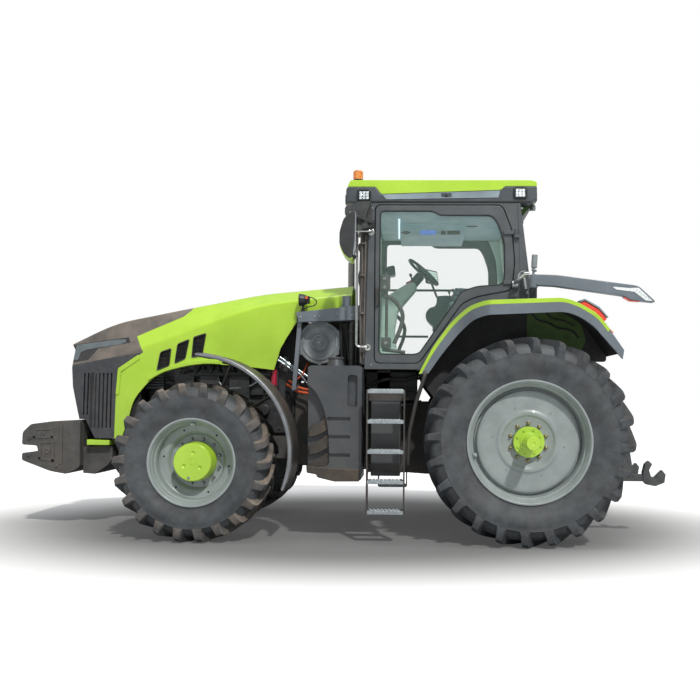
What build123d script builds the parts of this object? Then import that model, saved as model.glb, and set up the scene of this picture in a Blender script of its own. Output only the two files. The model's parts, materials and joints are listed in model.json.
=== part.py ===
"""Farm tractor: one STEP file for each sub-part, in millimetres.

X runs forward, Y to the left and Z up from the ground. Sizes along X are measured
from the rear axle; the finished pieces move so that the origin lies on the ground,
midway between the front-most and rear-most points.
"""
from build123d import *
import os
from math import atan2, cos, degrees, radians, sin, sqrt

# ------------------------------------------------------------------ driving sizes
wheelbase = 3045
wall = 50                # cab and door thickness
sheet = 24               # bonnet panels
run_clear = 8            # gap around a moving panel
pin_clear = 0.05         # radial gap of a pin in its bore
seat_gap = 0.3           # gap of rubber on metal

# rear wheels
rear_tyre_r = 940
rear_tyre_w = 620
rear_rim_r = 560
rear_rim_w = 508
rear_track = 1950
rear_dish = 125          # disc face behind the outer rim edge
rear_hub_r = 140
rear_hub_out = 60        # hub stands out of the disc
axle_bar_r = 61
axle_bar_out = 205       # bar end beyond the outer rim edge

# front wheels
front_tyre_r = 728
front_tyre_w = 540
front_rim_r = 406
front_rim_w = 457
front_track = 1860
front_dish = 225
front_hub_r = 175
front_hub_out = 190
spindle_r = 60

rim_t = 14               # rim metal
rim_seat = 30            # bead seat below the rim edge
rim_well = 75            # well below the rim edge
tyre_facets = 16
rear_lugs = 24           # in each of two rows
front_lugs = 22
lug_h = 50
lug_deep = 130           # lug's end reaches this far down the wall
lug_top = 50             # lug's width on the tread
lug_foot = 92
lug_span = 230           # a lug's length along the tread
lug_start = 14           # its inner end's distance from the middle

# steering
kingpin_y = 760
kingpin_r = 30
steer_arm = 220
steer_limit = 32         # degrees each way
tie_rod_r = 20
tie_pin_r = 12

# engine, frame and gearbox
drive_half = 230         # half width of gearbox and engine
frame_half = 200
gearbox_back = -330
engine_back = 2250
engine_front = 3450
engine_low = 960
engine_top = 1750
frame_front = 4380
axle_beam_top = 830
axle_beam_h = 190
axle_beam_l = 220

# front weights
weight_count = 11
weight_t = 74
weight_gap = 4
weight_front = 4972

# bonnet
hinge_x = 1705
hinge_z = 2290
hinge_r = 20
hood_open = 45           # degrees
bonnet_back = 1659
bonnet_low = 905
bonnet_crown = 12
beam_in = 480            # side beams of the bonnet hinge
beam_out = 580

# cab
cab_half = 800
cab_floor = 1600
cab_roof_z = 3175
cab_front_low = 1504
cab_front_top = 1464
cab_back_low = -63
cab_back_top = -47
roof_half = cab_half
roof_top = 3388
glass_t = 8
door_hinge_x = 85
door_hinge_y = cab_half + 22
door_pin_r = 8
door_open = 75           # degrees

# fenders, tanks and steps
fender_in = 600
fender_out = 1250
fender_t = 40
fender_lip = 30
fender_trim = 60
tank_in = 620
tank_out = 1000
tank_front = wheelbase - 1025        # clear of the turned mudguard
battery_out = 950
step_in = 1060
step_out = 1180
step_count = 5
step_pitch = 272
step_low = 276
step_x = (1129, 1447)

# rear hitch
link_pivot = (-400, 560)
link_rod_reach = 420     # lower link pivot to lift rod pin
lift_pivot_z = 1230
link_y = 450
link_end = -1230
hitch_pin_r = 16
pin_rise = 5             # lift pins above the line of the pivots
hook_x, hook_z = -1330, 600
drawbar_end = -940
drawbar_pin_x = -890
drawbar_pin_r = 17
drawbar_z = 430
drawbar_t = 45
pto_z = 790
pto_r = 17.45
pto_length = 110
top_link_x = -520
top_link_z = 1040

front_y = front_track / 2
rear_y = rear_track / 2


# ------------------------------------------------------------------ drawing aids
def box(x, y, z):
    """Block between pairs of limits."""
    size = [abs(b - a) for a, b in (x, y, z)]
    middle = [(a + b) / 2 for a, b in (x, y, z)]
    return Pos(*middle) * Box(*size)


def side(points, y0, y1):
    """Side outline of X, Z points, as thick as the stretch y0 to y1."""
    line = Polyline(*[(x, y0, z) for x, z in points], close=True)
    return extrude(make_face(line), amount=y1 - y0, dir=(0, 1, 0))


def plan(points, z0, z1):
    """Plan outline of X, Y points, from height z0 to z1."""
    line = Polyline(*[(x, y, z0) for x, y in points], close=True)
    return extrude(make_face(line), amount=z1 - z0, dir=(0, 0, 1))


def rod(start, end, r):
    """Round bar between two points."""
    a, b = Vector(*start), Vector(*end)
    length = (b - a).length
    return Plane(origin=a, z_dir=b - a) * Pos(0, 0, length / 2) * Cylinder(r, length)


def tube_path(points, bends, r):
    """Round bar along straight runs with rounded corners."""
    path = FilletPolyline(*points, radius=bends)
    start = Plane(origin=path @ 0, z_dir=path % 0)
    return sweep(start * Circle(r), path=path)


def flip(shape):
    """The same piece on the other side."""
    return mirror(shape, about=Plane.XZ)


def both(shape):
    """A piece and its mirror image, as one shape."""
    return Compound(children=[*solids(shape), *solids(flip(shape))])


def solids(shape):
    return list(shape.solids())


def turned(points, x, y, z):
    """Ring turned about the Y axis through x, z; points are (offset from y, radius)."""
    line = Polyline(*[(0, a, r) for a, r in points], close=True)
    return Pos(x, y, z) * revolve(make_face(line), Axis.Y)


def flat_ring(profile, facets):
    """Flat-sided ring about the Y axis; the closed profile is (offset along Y, radius)."""
    turns = [radians(360 * i / facets) for i in range(facets)]
    loops = [[(r * cos(t), y, r * sin(t)) for t in turns] for y, r in profile]
    faces = []
    for near, far in zip(loops, loops[1:] + loops[:1]):
        for i in range(facets):
            corners = [near[i - 1], near[i], far[i], far[i - 1]]
            faces.append(Face(Wire.make_polygon(corners)))
    return Solid(Shell(faces))


nodes = {}


# ------------------------------------------------------------------ wheels
def tyre(r, w, rim_r, rim_w, lugs):
    """Solid tyre about the Y axis: flat-sided carcass with slanted lugs in two staggered rows."""
    bead = rim_w / 2 - rim_t - seat_gap
    flat = cos(radians(180 / tyre_facets))
    seat = (rim_r - rim_seat + seat_gap) / flat
    swell = rim_r + 0.45 * (r - rim_r)
    crown = r - lug_h - 8
    outside = [(-bead, seat), (-bead, (rim_r + 6) / flat), (10 - w / 2, swell), (75 - w / 2, crown)]
    body = flat_ring(outside + [(-y, r) for y, r in reversed(outside)], tyre_facets)
    lean = atan2(lug_span, w / 2)
    # the corners of both rows that stand lowest touch the ground together
    tip_r = r / cos(radians(90 / lugs))
    tip_along = lug_span / 2 + lug_top / 2 / cos(lean)
    top = sqrt(tip_r ** 2 - tip_along ** 2)
    outline = Polyline((-lug_foot / 2, 0, -lug_deep), (-lug_top / 2, 0, 0), (lug_top / 2, 0, 0),
                       (lug_foot / 2, 0, -lug_deep), close=True)
    long_bar = extrude(make_face(outline), amount=lug_span + w, dir=(0, 1, 0))
    bar = Pos(lug_span / 2, 0, top) * Rot(0, 0, degrees(lean)) * Pos(0, lug_start, 0) * long_bar
    bar = bar & Box(4 * r, w, 4 * r)
    first = degrees(atan2(tip_along, top)) + 90 / lugs
    bars = []
    for i in range(lugs):
        bars += solids(Rot(0, first + 360 * i / lugs, 0) * bar)
        bars += solids(Rot(0, first + 360 * (i + 0.5) / lugs, 0) * flip(bar))
    return body.fuse(*bars)


def rim(rim_r, rim_w, dish, hole_r, cone, vent_at, x, y, z, s):
    """Pressed rim: barrel, well, flanges and dished disc, outer side towards s."""
    h = rim_w / 2
    seat = rim_r - rim_seat
    well = rim_r - rim_well
    barrel = [(-h, rim_r), (-h + rim_t, rim_r), (-h + rim_t, seat), (-62, seat), (-42, well),
              (42, well), (62, seat), (h - rim_t, seat), (h - rim_t, rim_r), (h, rim_r),
              (h, seat - rim_t), (48 + rim_t, seat - rim_t), (42, well - rim_t),
              (-42, well - rim_t), (-48 - rim_t, seat - rim_t), (-h, seat - rim_t)]
    face = h - dish
    disc = [(s * (face - 16), hole_r), (s * face, hole_r)]
    disc += [(s * (face + depth), r) for depth, r in cone]
    disc += [(s * (face + depth - 16), r) for depth, r in reversed(cone)]
    whole = turned(barrel, x, y, z) + turned(disc, x, y, z)
    for i in range(6):
        a = radians(20 + 60 * i)
        px, pz = x + vent_at * cos(a), z + vent_at * sin(a)
        whole -= rod((px, y - rim_w / 2, pz), (px, y + rim_w / 2, pz), 9)
    return whole


def rear_hub(x, y, z, s):
    """Axle bar with the flange behind the disc and the hub through it."""
    face = rear_rim_w / 2 - rear_dish
    end = rear_rim_w / 2 + axle_bar_out
    profile = [(s * (face + rear_hub_out), 0), (s * (face + rear_hub_out), rear_hub_r),
               (s * (face - 16), rear_hub_r), (s * (face - 16), 200), (s * (face - 46), 200),
               (s * (face - 60), 0)]
    bar = rod((x, s * 570, z), (x, y + s * end, z), axle_bar_r)
    whole = turned(profile, x, y, z) + bar
    out = y + s * (face + rear_hub_out)
    cut = rod((x, out - s * 6, z), (x, out + s, z), rear_hub_r + 1) & box(
        (x - 200, x + 200), (out - s * 7, out + s * 2), (z - 3, z + 3))
    whole -= Pos(x, 0, z) * Rot(0, 40, 0) * Pos(-x, 0, -z) * cut
    return whole + bar


def front_hub(x, y, z, s):
    """Final drive housing turning on the knuckle's spindle."""
    face = front_rim_w / 2 - front_dish
    profile = [(s * (face + front_hub_out), 0), (s * (face + front_hub_out), front_hub_r - 20),
               (s * (face + front_hub_out - 20), front_hub_r), (s * (face - 16), front_hub_r),
               (s * (face - 16), 245), (s * (face - 44), 245), (s * (face - 60), 150),
               (s * (face - 60), 0)]
    bore_end = y + s * (face + 100)
    bore = rod((x, y - s * 200, z), (x, bore_end, z), spindle_r + pin_clear)
    whole = turned(profile, x, y, z) - bore
    out = y + s * (face + front_hub_out)
    for angle in (95, 215, 335):
        a = radians(angle)
        whole -= Pos(x + 85 * cos(a), out + s * 8, z + 85 * sin(a)) * Sphere(22)
    return whole


# disc outlines: how far a ring stands out of the bolt face, and its radius
rear_cone = [(0, 222), (14, 232), (14, 278), (4, 292), (10, 380), (6, 448), (-14, 466),
             (-14, rear_rim_r - rim_seat - rim_t + 2)]
front_cone = [(0, 240), (42, 262), (50, 280), (50, 318), (66, 340), (66, front_rim_r - rim_seat - rim_t + 2)]

rear_tyre = tyre(rear_tyre_r, rear_tyre_w, rear_rim_r, rear_rim_w, rear_lugs)
front_tyre = tyre(front_tyre_r, front_tyre_w, front_rim_r, front_rim_w, front_lugs)
for name, s in (("left", 1), ("right", -1)):
    place = (0, s * rear_y, rear_tyre_r)
    nodes[f"tyre_rear_{name}"] = Pos(*place) * (rear_tyre if s == 1 else flip(rear_tyre))
    nodes[f"rim_rear_{name}"] = rim(rear_rim_r, rear_rim_w, rear_dish, rear_hub_r + seat_gap,
                                    rear_cone, 325, *place, s)
    nodes[f"hub_rear_{name}"] = rear_hub(*place, s)
    place = (wheelbase, s * front_y, front_tyre_r)
    nodes[f"tyre_front_{name}"] = Pos(*place) * (front_tyre if s == 1 else flip(front_tyre))
    nodes[f"rim_front_{name}"] = rim(front_rim_r, front_rim_w, front_dish, front_hub_r + seat_gap,
                                     front_cone, 328, *place, s)
    nodes[f"hub_front_{name}"] = front_hub(*place, s)


# ------------------------------------------------------------------ front axle
ear_in = 655
ear_low = (front_tyre_r - 172, front_tyre_r - 122)
ear_high = (front_tyre_r + 122, front_tyre_r + 172)
half_beam = axle_beam_l / 2
beam_low = axle_beam_top - axle_beam_h

front_beam = box((wheelbase - half_beam, wheelbase + half_beam), (-640, 640),
                 (beam_low, axle_beam_top))
for s in (-1, 1):
    yoke = box((wheelbase - 90, wheelbase + 90), (s * 580, s * ear_in), (ear_low[0], ear_high[1]))
    for low, high in (ear_low, ear_high):
        ear = box((wheelbase - 90, wheelbase + 90), (s * ear_in, s * kingpin_y), (low, high))
        tip = Pos(wheelbase, s * kingpin_y, (low + high) / 2) * Cylinder(90, high - low)
        yoke += ear + tip
    front_beam += yoke - rod((wheelbase, s * kingpin_y, ear_low[0] - 1),
                             (wheelbase, s * kingpin_y, ear_high[1] + 1), kingpin_r + pin_clear)
nodes["front_axle_beam"] = front_beam

arm_z = front_tyre_r - 80
tie_x = wheelbase - steer_arm
for name, s in (("left", 1), ("right", -1)):
    pin = (wheelbase, s * kingpin_y)
    boss = Pos(*pin, front_tyre_r) * Cylinder(85, ear_high[0] - ear_low[1] - 12)
    kingpin = rod((*pin, ear_low[0] - 12), (*pin, ear_high[1] + 12), kingpin_r)
    spindle = rod((wheelbase, s * (kingpin_y + 20), front_tyre_r),
                  (wheelbase, s * (front_y + 90), front_tyre_r), spindle_r)
    arm = box((tie_x, wheelbase), (s * (kingpin_y - 32), s * (kingpin_y + 32)), (arm_z - 20, arm_z + 20))
    arm += Pos(tie_x, s * kingpin_y, arm_z) * Cylinder(32, 40)
    if s == 1:
        arm += rod((tie_x, s * kingpin_y, arm_z - 60), (tie_x, s * kingpin_y, arm_z), tie_pin_r)
    else:
        arm -= rod((tie_x, s * kingpin_y, arm_z - 60), (tie_x, s * kingpin_y, arm_z + 60),
                   tie_pin_r + 3)
    post_y = s * (front_y - front_tyre_w / 2 - 26)
    foot_z = ear_high[1] + 12
    carrier = box((wheelbase - 45, wheelbase + 45), (s * (kingpin_y + 45), post_y - s * 14),
                  (foot_z, foot_z + 18))
    nodes[f"knuckle_{name}"] = boss + kingpin + spindle + arm + carrier

# mudguard: a flat-sided arch over the back of the tyre, carried by two bent bars
guard_x, guard_z = wheelbase - 11, front_tyre_r + 95
guard_r = 904
guard_t = 36
guard_in, guard_out = 730, 1175
guard_from, guard_to = 92, 202


def guard_point(r, angle):
    """X and Z on the mudguard's circle, the angle turning up from forward."""
    a = radians(angle)
    return guard_x + r * cos(a), guard_z + r * sin(a)


def guard_arc(r, y):
    """Arc of the mudguard at radius r, in the plane of the given y."""
    ends = [guard_point(r, a) for a in (guard_from, (guard_from + guard_to) / 2, guard_to)]
    return ThreePointArc(*[(x, y, z) for x, z in ends])


def guard_band(r, t, y0, y1):
    """Curved plate of the mudguard, from y0 to y1."""
    outer = guard_arc(r, y0)
    inner = guard_arc(r - t, y0)
    face = make_face([outer, inner, Line(outer @ 0, inner @ 0), Line(outer @ 1, inner @ 1)])
    return extrude(face, amount=y1 - y0, dir=(0, 1, 0))


for name, s in (("left", 1), ("right", -1)):
    band = guard_band(guard_r, guard_t, min(s * guard_in, s * guard_out), max(s * guard_in, s * guard_out))
    post_y = s * (front_y - front_tyre_w / 2 - 26)
    bars = None
    for angle, foot in ((105, 25), (140, -25)):
        x, z = guard_point(guard_r - guard_t - 12, angle)
        up = rod((wheelbase + foot, post_y, ear_high[1] + 42), (x, post_y, z), 14)
        across = rod((x, post_y, z), (x, s * (guard_in + 200), z), 14)
        knee = Pos(x, post_y, z) * Sphere(14)
        bars = up + across + knee if bars is None else bars + up + across + knee
    foot = box((wheelbase - 45, wheelbase + 45), (post_y - 14, post_y + 14),
               (ear_high[1] + 30, ear_high[1] + 60))
    nodes[f"mudguard_{name}"] = band + bars + foot

rod_z = arm_z - 42
tie_rod = rod((tie_x, kingpin_y - 20, rod_z), (tie_x, -kingpin_y + 20, rod_z), tie_rod_r)
for s in (-1, 1):
    tie_rod += Pos(tie_x, s * kingpin_y, rod_z) * Cylinder(34, 36)
tie_rod -= rod((tie_x, kingpin_y, rod_z - 40), (tie_x, kingpin_y, rod_z + 40), tie_pin_r + pin_clear)
tie_rod += rod((tie_x, -kingpin_y, rod_z), (tie_x, -kingpin_y, arm_z + 10), tie_pin_r)
nodes["tie_rod"] = tie_rod

# ------------------------------------------------------------------ frame, engine, gearbox
rail = [(engine_back, 700), (wheelbase - 395, 700), (wheelbase - 195, axle_beam_top),
        (wheelbase + 255, axle_beam_top), (wheelbase + 555, 760),
        (4080, 690), (4080, 905 - 35), (3700, engine_low), (engine_back, engine_low)]
nose = [(4080, 690), (4124, 631), (4256, 539), (frame_front, 548), (frame_front, 811), (4166, 826),
        (4080, 826)]
nodes["front_frame"] = side(rail, -frame_half, frame_half) + side(nose, -350, 350)

lip = [(4082, 836), (4310, 836), (4310, 892), (4082, 886)]
nodes["bumper_lip"] = side(lip, -430, 430)
nodes["front_frame"] += box((4090, 4290), (-frame_half, frame_half), (820, 836))

weight_side = [(frame_front, 1084), (4647, 1074), (4881, 1042), (4965, 961), (4971, 835), (4818, 826),
               (4807, 761), (4970, 752), (weight_front, 679), (4684, 571), (4521, 543), (4440, 574),
               (frame_front, 615)]
pitch = weight_t + weight_gap
span = weight_count * pitch - weight_gap
weights = side(weight_side, -span / 2, span / 2)
for i in range(1, weight_count):
    y = -span / 2 + i * pitch - weight_gap
    weights -= box((frame_front + 60, weight_front + 1), (y, y + weight_gap), (500, 1100))
nodes["front_weights"] = weights

block = box((engine_back, engine_front), (-drive_half, drive_half), (engine_low, engine_top))
for s in (-1, 1):
    for x, top in ((2700, 1560), (3000, 1600), (3260, 1560)):
        block += box((x, x + 200), (s * drive_half, s * 330), (1180, top))
    block += box((2424, 2484), (s * drive_half, s * 330), (1420, 1450))
    block += rod((2454, s * 300, 1420), (2454, s * 300, 1600), 31)
    for shift in (-60, 0):
        route = [(2420 - shift, s * 200, 1750), (2420 - shift, s * 330, 1750),
                 (2080 - shift, s * 330, 1520), (2080 - shift, s * 120, 1520)]
        block += tube_path(route, [40, 40], 16)
nodes["engine_block"] = block

gearbox = [(gearbox_back, 680), (-250, 600), (900, 560), (1500, 600), (engine_back, 640),
           (engine_back, 1480), (1700, 1480), (1240, 1300), (300, 1300), (-250, 1250),
           (gearbox_back, 1180)]
housing = side(gearbox, -drive_half, drive_half)
for x0, x1 in ((tank_front - 370, tank_front - 170), (1200, 1380)):
    housing += box((x0, x1), (-tank_in, tank_in), (690, 790))
housing += box((1260, 1400), (-560, 560), (1330, 1430))
for s in (-1, 1):
    housing += box((1260, 1400), (s * 480, s * 560), (1430, cab_floor))
nodes["transmission_housing"] = housing

trumpet = [(drive_half, 0), (drive_half, 230), (400, 200), (700, 130), (700, 0)]
axle = None
for s in (-1, 1):
    half_axle = turned([(s * a, r) for a, r in trumpet], 0, 0, rear_tyre_r)
    half_axle += box((-80, 80), (s * 420, s * 560), (rear_tyre_r, cab_floor))
    half_axle -= rod((0, s * 550, rear_tyre_r), (0, s * 720, rear_tyre_r), axle_bar_r + pin_clear)
    axle = half_axle if axle is None else Compound(children=[*solids(axle), *solids(half_axle)])
nodes["rear_axle_housing"] = axle

# ------------------------------------------------------------------ fenders
# outer line, lower line of the band; the line starts at the front
fender_top = [(989, 1556), (872, 1789), (690, 2040), (540, 2165), (410, 2203), (-290, 2223),
              (-420, 2178), (-590, 2080), (-690, 1945), (-818, 1763)]
fender_low = [(900, 1556), (782, 1729), (620, 1930), (500, 2040), (400, 2071), (-310, 2098),
              (-430, 2055), (-560, 1965), (-640, 1870), (-805, 1685)]


def between(share):
    """Line part of the way from the fender's top to its lower line."""
    return [(a + (c - a) * share, b + (d - b) * share)
            for (a, b), (c, d) in zip(fender_top, fender_low)]


def fender_height(x):
    """Height of the flat top of the fender at x."""
    (x0, z0), (x1, z1) = fender_top[4:6]
    return z0 + (z1 - z0) * (x - x0) / (x1 - x0)


sheet_line = between(0.3)
band_area = fender_top + fender_low[::-1]
skin_area = fender_top + sheet_line[::-1]
under_area = sheet_line + fender_low[::-1]


def fender_plan(inset):
    """Plan of one fender: full width behind, drawn in beside the door."""
    edge = fender_out - inset
    return [(-900, fender_in - 1), (1000, fender_in - 1), (1000, 905 - inset), (720, 905 - inset),
            (330, edge), (-900, edge)]


outer_plan = plan(fender_plan(0), 1200, 2400)
band = side(band_area, fender_in, fender_out) & outer_plan
hollow = side(under_area, fender_in - 1, fender_out) & plan(fender_plan(fender_lip), 1200, 2400)
trim = (side(skin_area, fender_in, fender_out) & outer_plan) - plan(fender_plan(fender_trim), 1200, 2400)
trim = trim - box((-900, -700), (fender_in, fender_out), (1200, 1945))
inner_wall = fender_top[:9] + [(-560, 1500), (-300, 1250), (600, 1250), (940, 1480)]
wing = band - hollow - trim + side(inner_wall, fender_in, fender_in + fender_t)
nodes["rear_fenders"] = both(wing)
nodes["fender_trims"] = both(trim)

# ------------------------------------------------------------------ cab
cab_outline = [(cab_front_low, cab_floor), (cab_front_top, cab_roof_z), (cab_back_top, cab_roof_z),
               (cab_back_low, fender_height(cab_back_low))] + fender_top[4::-1]
cab_outline = [p for p in cab_outline if p[1] >= cab_floor] + [(967, cab_floor)]
void_outline = [(cab_front_low - wall, cab_floor + wall), (cab_front_top - wall, cab_roof_z + 50),
                (cab_back_top + wall, cab_roof_z + 50), (cab_back_low + wall, 2260), (420, 2253),
                (560, 2212), (725, 2075), (912, 1815), (1010, cab_floor + wall)]
inner_half = cab_half - wall

door_line = [(1409, 1660), (1409, 3150), (215, 3150), (122, 2914), (96, 2610), (122, 2352),
             (448, 2290), (586, 2228), (972, 1685), (1010, 1660)]
door_gap_line = [(1409 + run_clear, 1660 - run_clear), (1409 + run_clear, 3150 + run_clear),
                 (215 - run_clear, 3150 + run_clear), (122 - run_clear, 2914), (96 - run_clear, 2610),
                 (122 - run_clear, 2352 - run_clear), (448, 2290 - run_clear - 2),
                 (586 - run_clear, 2228 - run_clear), (972 - run_clear, 1685 - run_clear),
                 (1010, 1660 - run_clear)]
glass_line = [(1370, 1745), (1362, 3098), (865, 3098), (799, 3058), (303, 3058), (247, 2969),
              (192, 2804), (188, 2582), (190, 2444), (225, 2402), (449, 2387), (600, 2332),
              (640, 2255), (985, 1755), (1040, 1742)]

cab = side(cab_outline, -cab_half, cab_half) - side(void_outline, -inner_half, inner_half)
cab -= box((cab_back_low + wall, 1010), (-fender_in, fender_in), (cab_floor + 10, 2300))
cab += box((cab_back_low, 1010), (-fender_in, fender_in), (cab_floor, cab_floor + wall))
cab += box((cab_back_low, cab_back_low + wall), (-fender_in, fender_in), (cab_floor, 2216))
for s in (-1, 1):
    cab -= side(door_gap_line, min(s * (inner_half - 10), s * (cab_half + 10)),
                max(s * (inner_half - 10), s * (cab_half + 10)))
screen = box((1300, 1600), (-700, 700), (1960, 3110))
back_glass = box((-150, 60), (-660, 660), (2290, 3110))
cab = cab - screen - back_glass

hinge_levels = (2400, 2870)
pin_y = door_hinge_y
for s in (-1, 1):
    for z in hinge_levels:
        lug = box((door_hinge_x - 32, door_hinge_x + 18), (s * (cab_half - 5), s * (pin_y + 16)),
                  (z - 30, z))
        cab += lug + rod((door_hinge_x, s * pin_y, z - 10), (door_hinge_x, s * pin_y, z + 46), door_pin_r)
nodes["cab_frame"] = cab

pane_front = [(cab_front_low - 20, cab_floor), (cab_front_top - 20, cab_roof_z),
              (cab_front_top - 20 - glass_t, cab_roof_z), (cab_front_low - 20 - glass_t, cab_floor)]
pane_back = [(cab_back_low + 20, 2216), (cab_back_top + 20, cab_roof_z),
             (cab_back_top + 20 + glass_t, cab_roof_z), (cab_back_low + 20 + glass_t, 2216)]
nodes["cab_windows"] = Compound(children=[
    *solids(side(pane_front, -cab_half, cab_half) & screen),
    *solids(side(pane_back, -cab_half, cab_half) & back_glass)])

for name, s in (("left", 1), ("right", -1)):
    y0, y1 = sorted((s * (inner_half + 2), s * (cab_half - 2)))
    door = side(door_line, y0, y1) - side(glass_line, y0 - 1, y1 + 1)
    for z in hinge_levels:
        knuckle = Pos(door_hinge_x, s * pin_y, z + 22.5) * Cylinder(16, 44)
        leaf = box((door_hinge_x, 200), (s * (cab_half + 7), s * (cab_half + 19)), (z + 4, z + 41))
        pad = box((150, 200), (s * (cab_half - 4), s * (cab_half + 8)), (z + 4, z + 41))
        door += knuckle + leaf + pad
        door -= rod((door_hinge_x, s * pin_y, z - 10), (door_hinge_x, s * pin_y, z + 60),
                    door_pin_r + pin_clear)
    door += box((1376, 1400), (s * (cab_half - 4), s * (cab_half + 26)), (2190, 2370))
    nodes[f"door_{name}"] = door
    y0, y1 = sorted((s * (cab_half - wall / 2 - glass_t / 2), s * (cab_half - wall / 2 + glass_t / 2)))
    nodes[f"door_glass_{name}"] = side(glass_line, y0, y1)

# roof: dark base with the lamp pockets, coloured cap over it
base_side = [(1459, cab_roof_z), (1689, cab_roof_z), (1689, 3300), (1676, 3325), (1411, 3325),
             (1355, 3256), (228, 3296), (187, 3331), (-112, 3331), (-112, 3211),
             (-60, cab_roof_z)]
cap_side = [(1676, 3325), (1654, 3375), (1640, roof_top), (-60, roof_top), (-108, 3375), (-112, 3331),
            (187, 3331), (228, 3296), (1355, 3256), (1411, 3325)]
nodes["roof_base"] = side(base_side, -roof_half, roof_half)
nodes["cab_roof"] = side(cap_side, -roof_half, roof_half)

# ------------------------------------------------------------------ cab inside
seat_frame = box((380, 640), (-150, 150), (cab_floor + wall, 2180))
nodes["seat_pedestal"] = seat_frame
nodes["seat_cushions"] = Compound(children=[
    *solids(box((330, 702), (-250, 250), (2180 + seat_gap, 2320))),
    *solids(box((340, 650), (-240, 240), (2320 + seat_gap, 2455)))])

wheel_at = (945, 2648)
wheel_tilt = 40.5        # plane of the wheel against the floor
wheel_r = 190
rim_tube_r = 15
axis_dir = (-sin(radians(wheel_tilt)), cos(radians(wheel_tilt)))
column_side = [(1000, 2480), (1052, 2548), (1300, 2400), (1380, 2380), (1400, cab_floor + wall),
               (1200, cab_floor + wall), (1230, 2230)]
column = side(column_side, -95, 95)


def on_column(t):
    return wheel_at[0] + axis_dir[0] * t, 0, wheel_at[1] + axis_dir[1] * t


column += rod(on_column(-190), on_column(-40), 38)
column += rod(on_column(-60), on_column(10), 14)
nodes["steering_column"] = column
plane = Plane(origin=on_column(0), x_dir=(0, 1, 0), z_dir=(axis_dir[0], 0, axis_dir[1]))
hand_wheel = plane * Torus(wheel_r, rim_tube_r)
hand_wheel += plane * Pos(0, 0, -8) * Cylinder(52, 40)
for spoke in range(3):
    hand_wheel += plane * Rot(0, 0, 90 + 120 * spoke) * Pos(wheel_r / 2, 0, -8) * Box(wheel_r - 10, 34, 12)
hand_wheel -= plane * Pos(0, 0, -30) * Cylinder(14 + pin_clear, 90)
hand_wheel += plane * Pos(0, 0, 17) * Cylinder(40, 12)
nodes["steering_wheel"] = hand_wheel

console = box((330, 860), (-560, -380), (2240, 2330))
console += box((420, 600), (-540, -400), (cab_floor + wall, 2240))
console += rod((790, -400, 2325), (850, -400, 2600), 12)
console += box((835, 865), (-490, -290), (2570, 2740))
nodes["side_console"] = console

# ------------------------------------------------------------------ tanks, steps, handrails
tank_side = [(1512, 1620), (tank_front - 10, 1620), (tank_front, 1300), (tank_front, 704),
             (tank_front - 8, 637), (tank_front - 96, 624), (tank_front - 111, 595),
             (tank_front - 267, 559), (1548, 561), (1512, 572)]
tank = side(tank_side, tank_in, tank_out)
recess = [(tank_front + 10, 1440), (tank_front - 80, 1360), (tank_front - 165, 1220),
          (tank_front - 225, 1040), (tank_front - 240, 690), (tank_front + 10, 700)]
tank -= side(recess, tank_out - 85, tank_out + 1)
tank -= box((1553, 1643), (tank_out - 60, tank_out + 1), (1241, 1537))
for z in (1132, 965, 796):
    tank -= box((1617, 1790), (tank_out - 26, tank_out + 1), (z - 17, z + 17))
    ledge = [(tank_front - 240, z + 15), (tank_front - 20, z - 95), (tank_front - 20, z - 125),
             (tank_front - 240, z - 15)]
    tank += side(ledge, tank_out - 90, tank_out - 45)
neck = Pos(1770, 860, 1664) * Cylinder(75, 88)
nodes["fuel_tanks"] = both(tank + neck)

battery = box((1156, 1430), (tank_in, battery_out), (604, 1374))
nodes["battery_boxes"] = both(battery)

ladder = box((step_x[0] - 19, step_x[1] + 13), (battery_out, battery_out + 8), (1300, 1374))
ladder += box((step_x[0] - 19, step_x[1] + 13), (battery_out, battery_out + 8), (640, 714))
for x in (step_x[0] - 11, step_x[1] + 5):
    ladder += box((x - 8, x + 8), (step_in, step_out), (290, 1400))
    for low, high in ((640, 714), (1300, 1374)):
        ladder += box((x - 8, x + 8), (battery_out, step_in), (low, high))
for i in range(step_count):
    z = step_low + i * step_pitch
    ladder += box((step_x[0] - 11, step_x[1] + 5), (step_in, step_out), (z, z + 46))
nodes["cab_steps"] = both(ladder)

def front_wall_x(z):
    """Middle of the cab's leaning front wall at height z."""
    share = (z - cab_floor) / (cab_roof_z - cab_floor)
    return cab_front_low + (cab_front_top - cab_front_low) * share - wall / 2


grab_y = cab_half + 50
grab_low, grab_high, grab_x = 1805, 2894, 1577
low_x, high_x = front_wall_x(grab_low), front_wall_x(grab_high)
grab = tube_path([(high_x, cab_half, grab_high), (high_x, grab_y, grab_high), (grab_x, grab_y, grab_high),
                  (grab_x, grab_y, grab_low), (low_x, grab_y, grab_low), (low_x, cab_half, grab_low)],
                 [24, 36, 36, 24], 14)
nodes["handrails"] = both(grab)

# ------------------------------------------------------------------ bonnet hinge beams, air cleaner
beam_back, beam_front = (1490, 2240), (2191, 2158)


def beam_height(x):
    """Height of the sloping top of the side beams at x."""
    slope = (beam_front[1] - beam_back[1]) / (beam_front[0] - beam_back[0])
    return beam_back[1] + slope * (x - beam_back[0])


beam = side([(1490, 2091), beam_back, beam_front, (2164, 2064)], beam_in, beam_out)
bracket = side([(hinge_x - 40, 2200), (hinge_x - 40, 2330), (hinge_x + 40, 2330), (hinge_x + 40, 2200)],
               beam_in, beam_in + 30)
pillar = side([(2140, 2080), (2180, 2100), (2235, 1400), (2195, 1400)], beam_in, beam_in + 50)
foot = box((2195, 2235), (drive_half, beam_in), (1400, 1460))
half_beams = beam + bracket + pillar + foot
hinge_end = beam_in + 28
hinge_bar = rod((hinge_x, -hinge_end, hinge_z), (hinge_x, hinge_end, hinge_z), hinge_r)
nodes["hood_beams"] = half_beams + flip(half_beams) + hinge_bar

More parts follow.
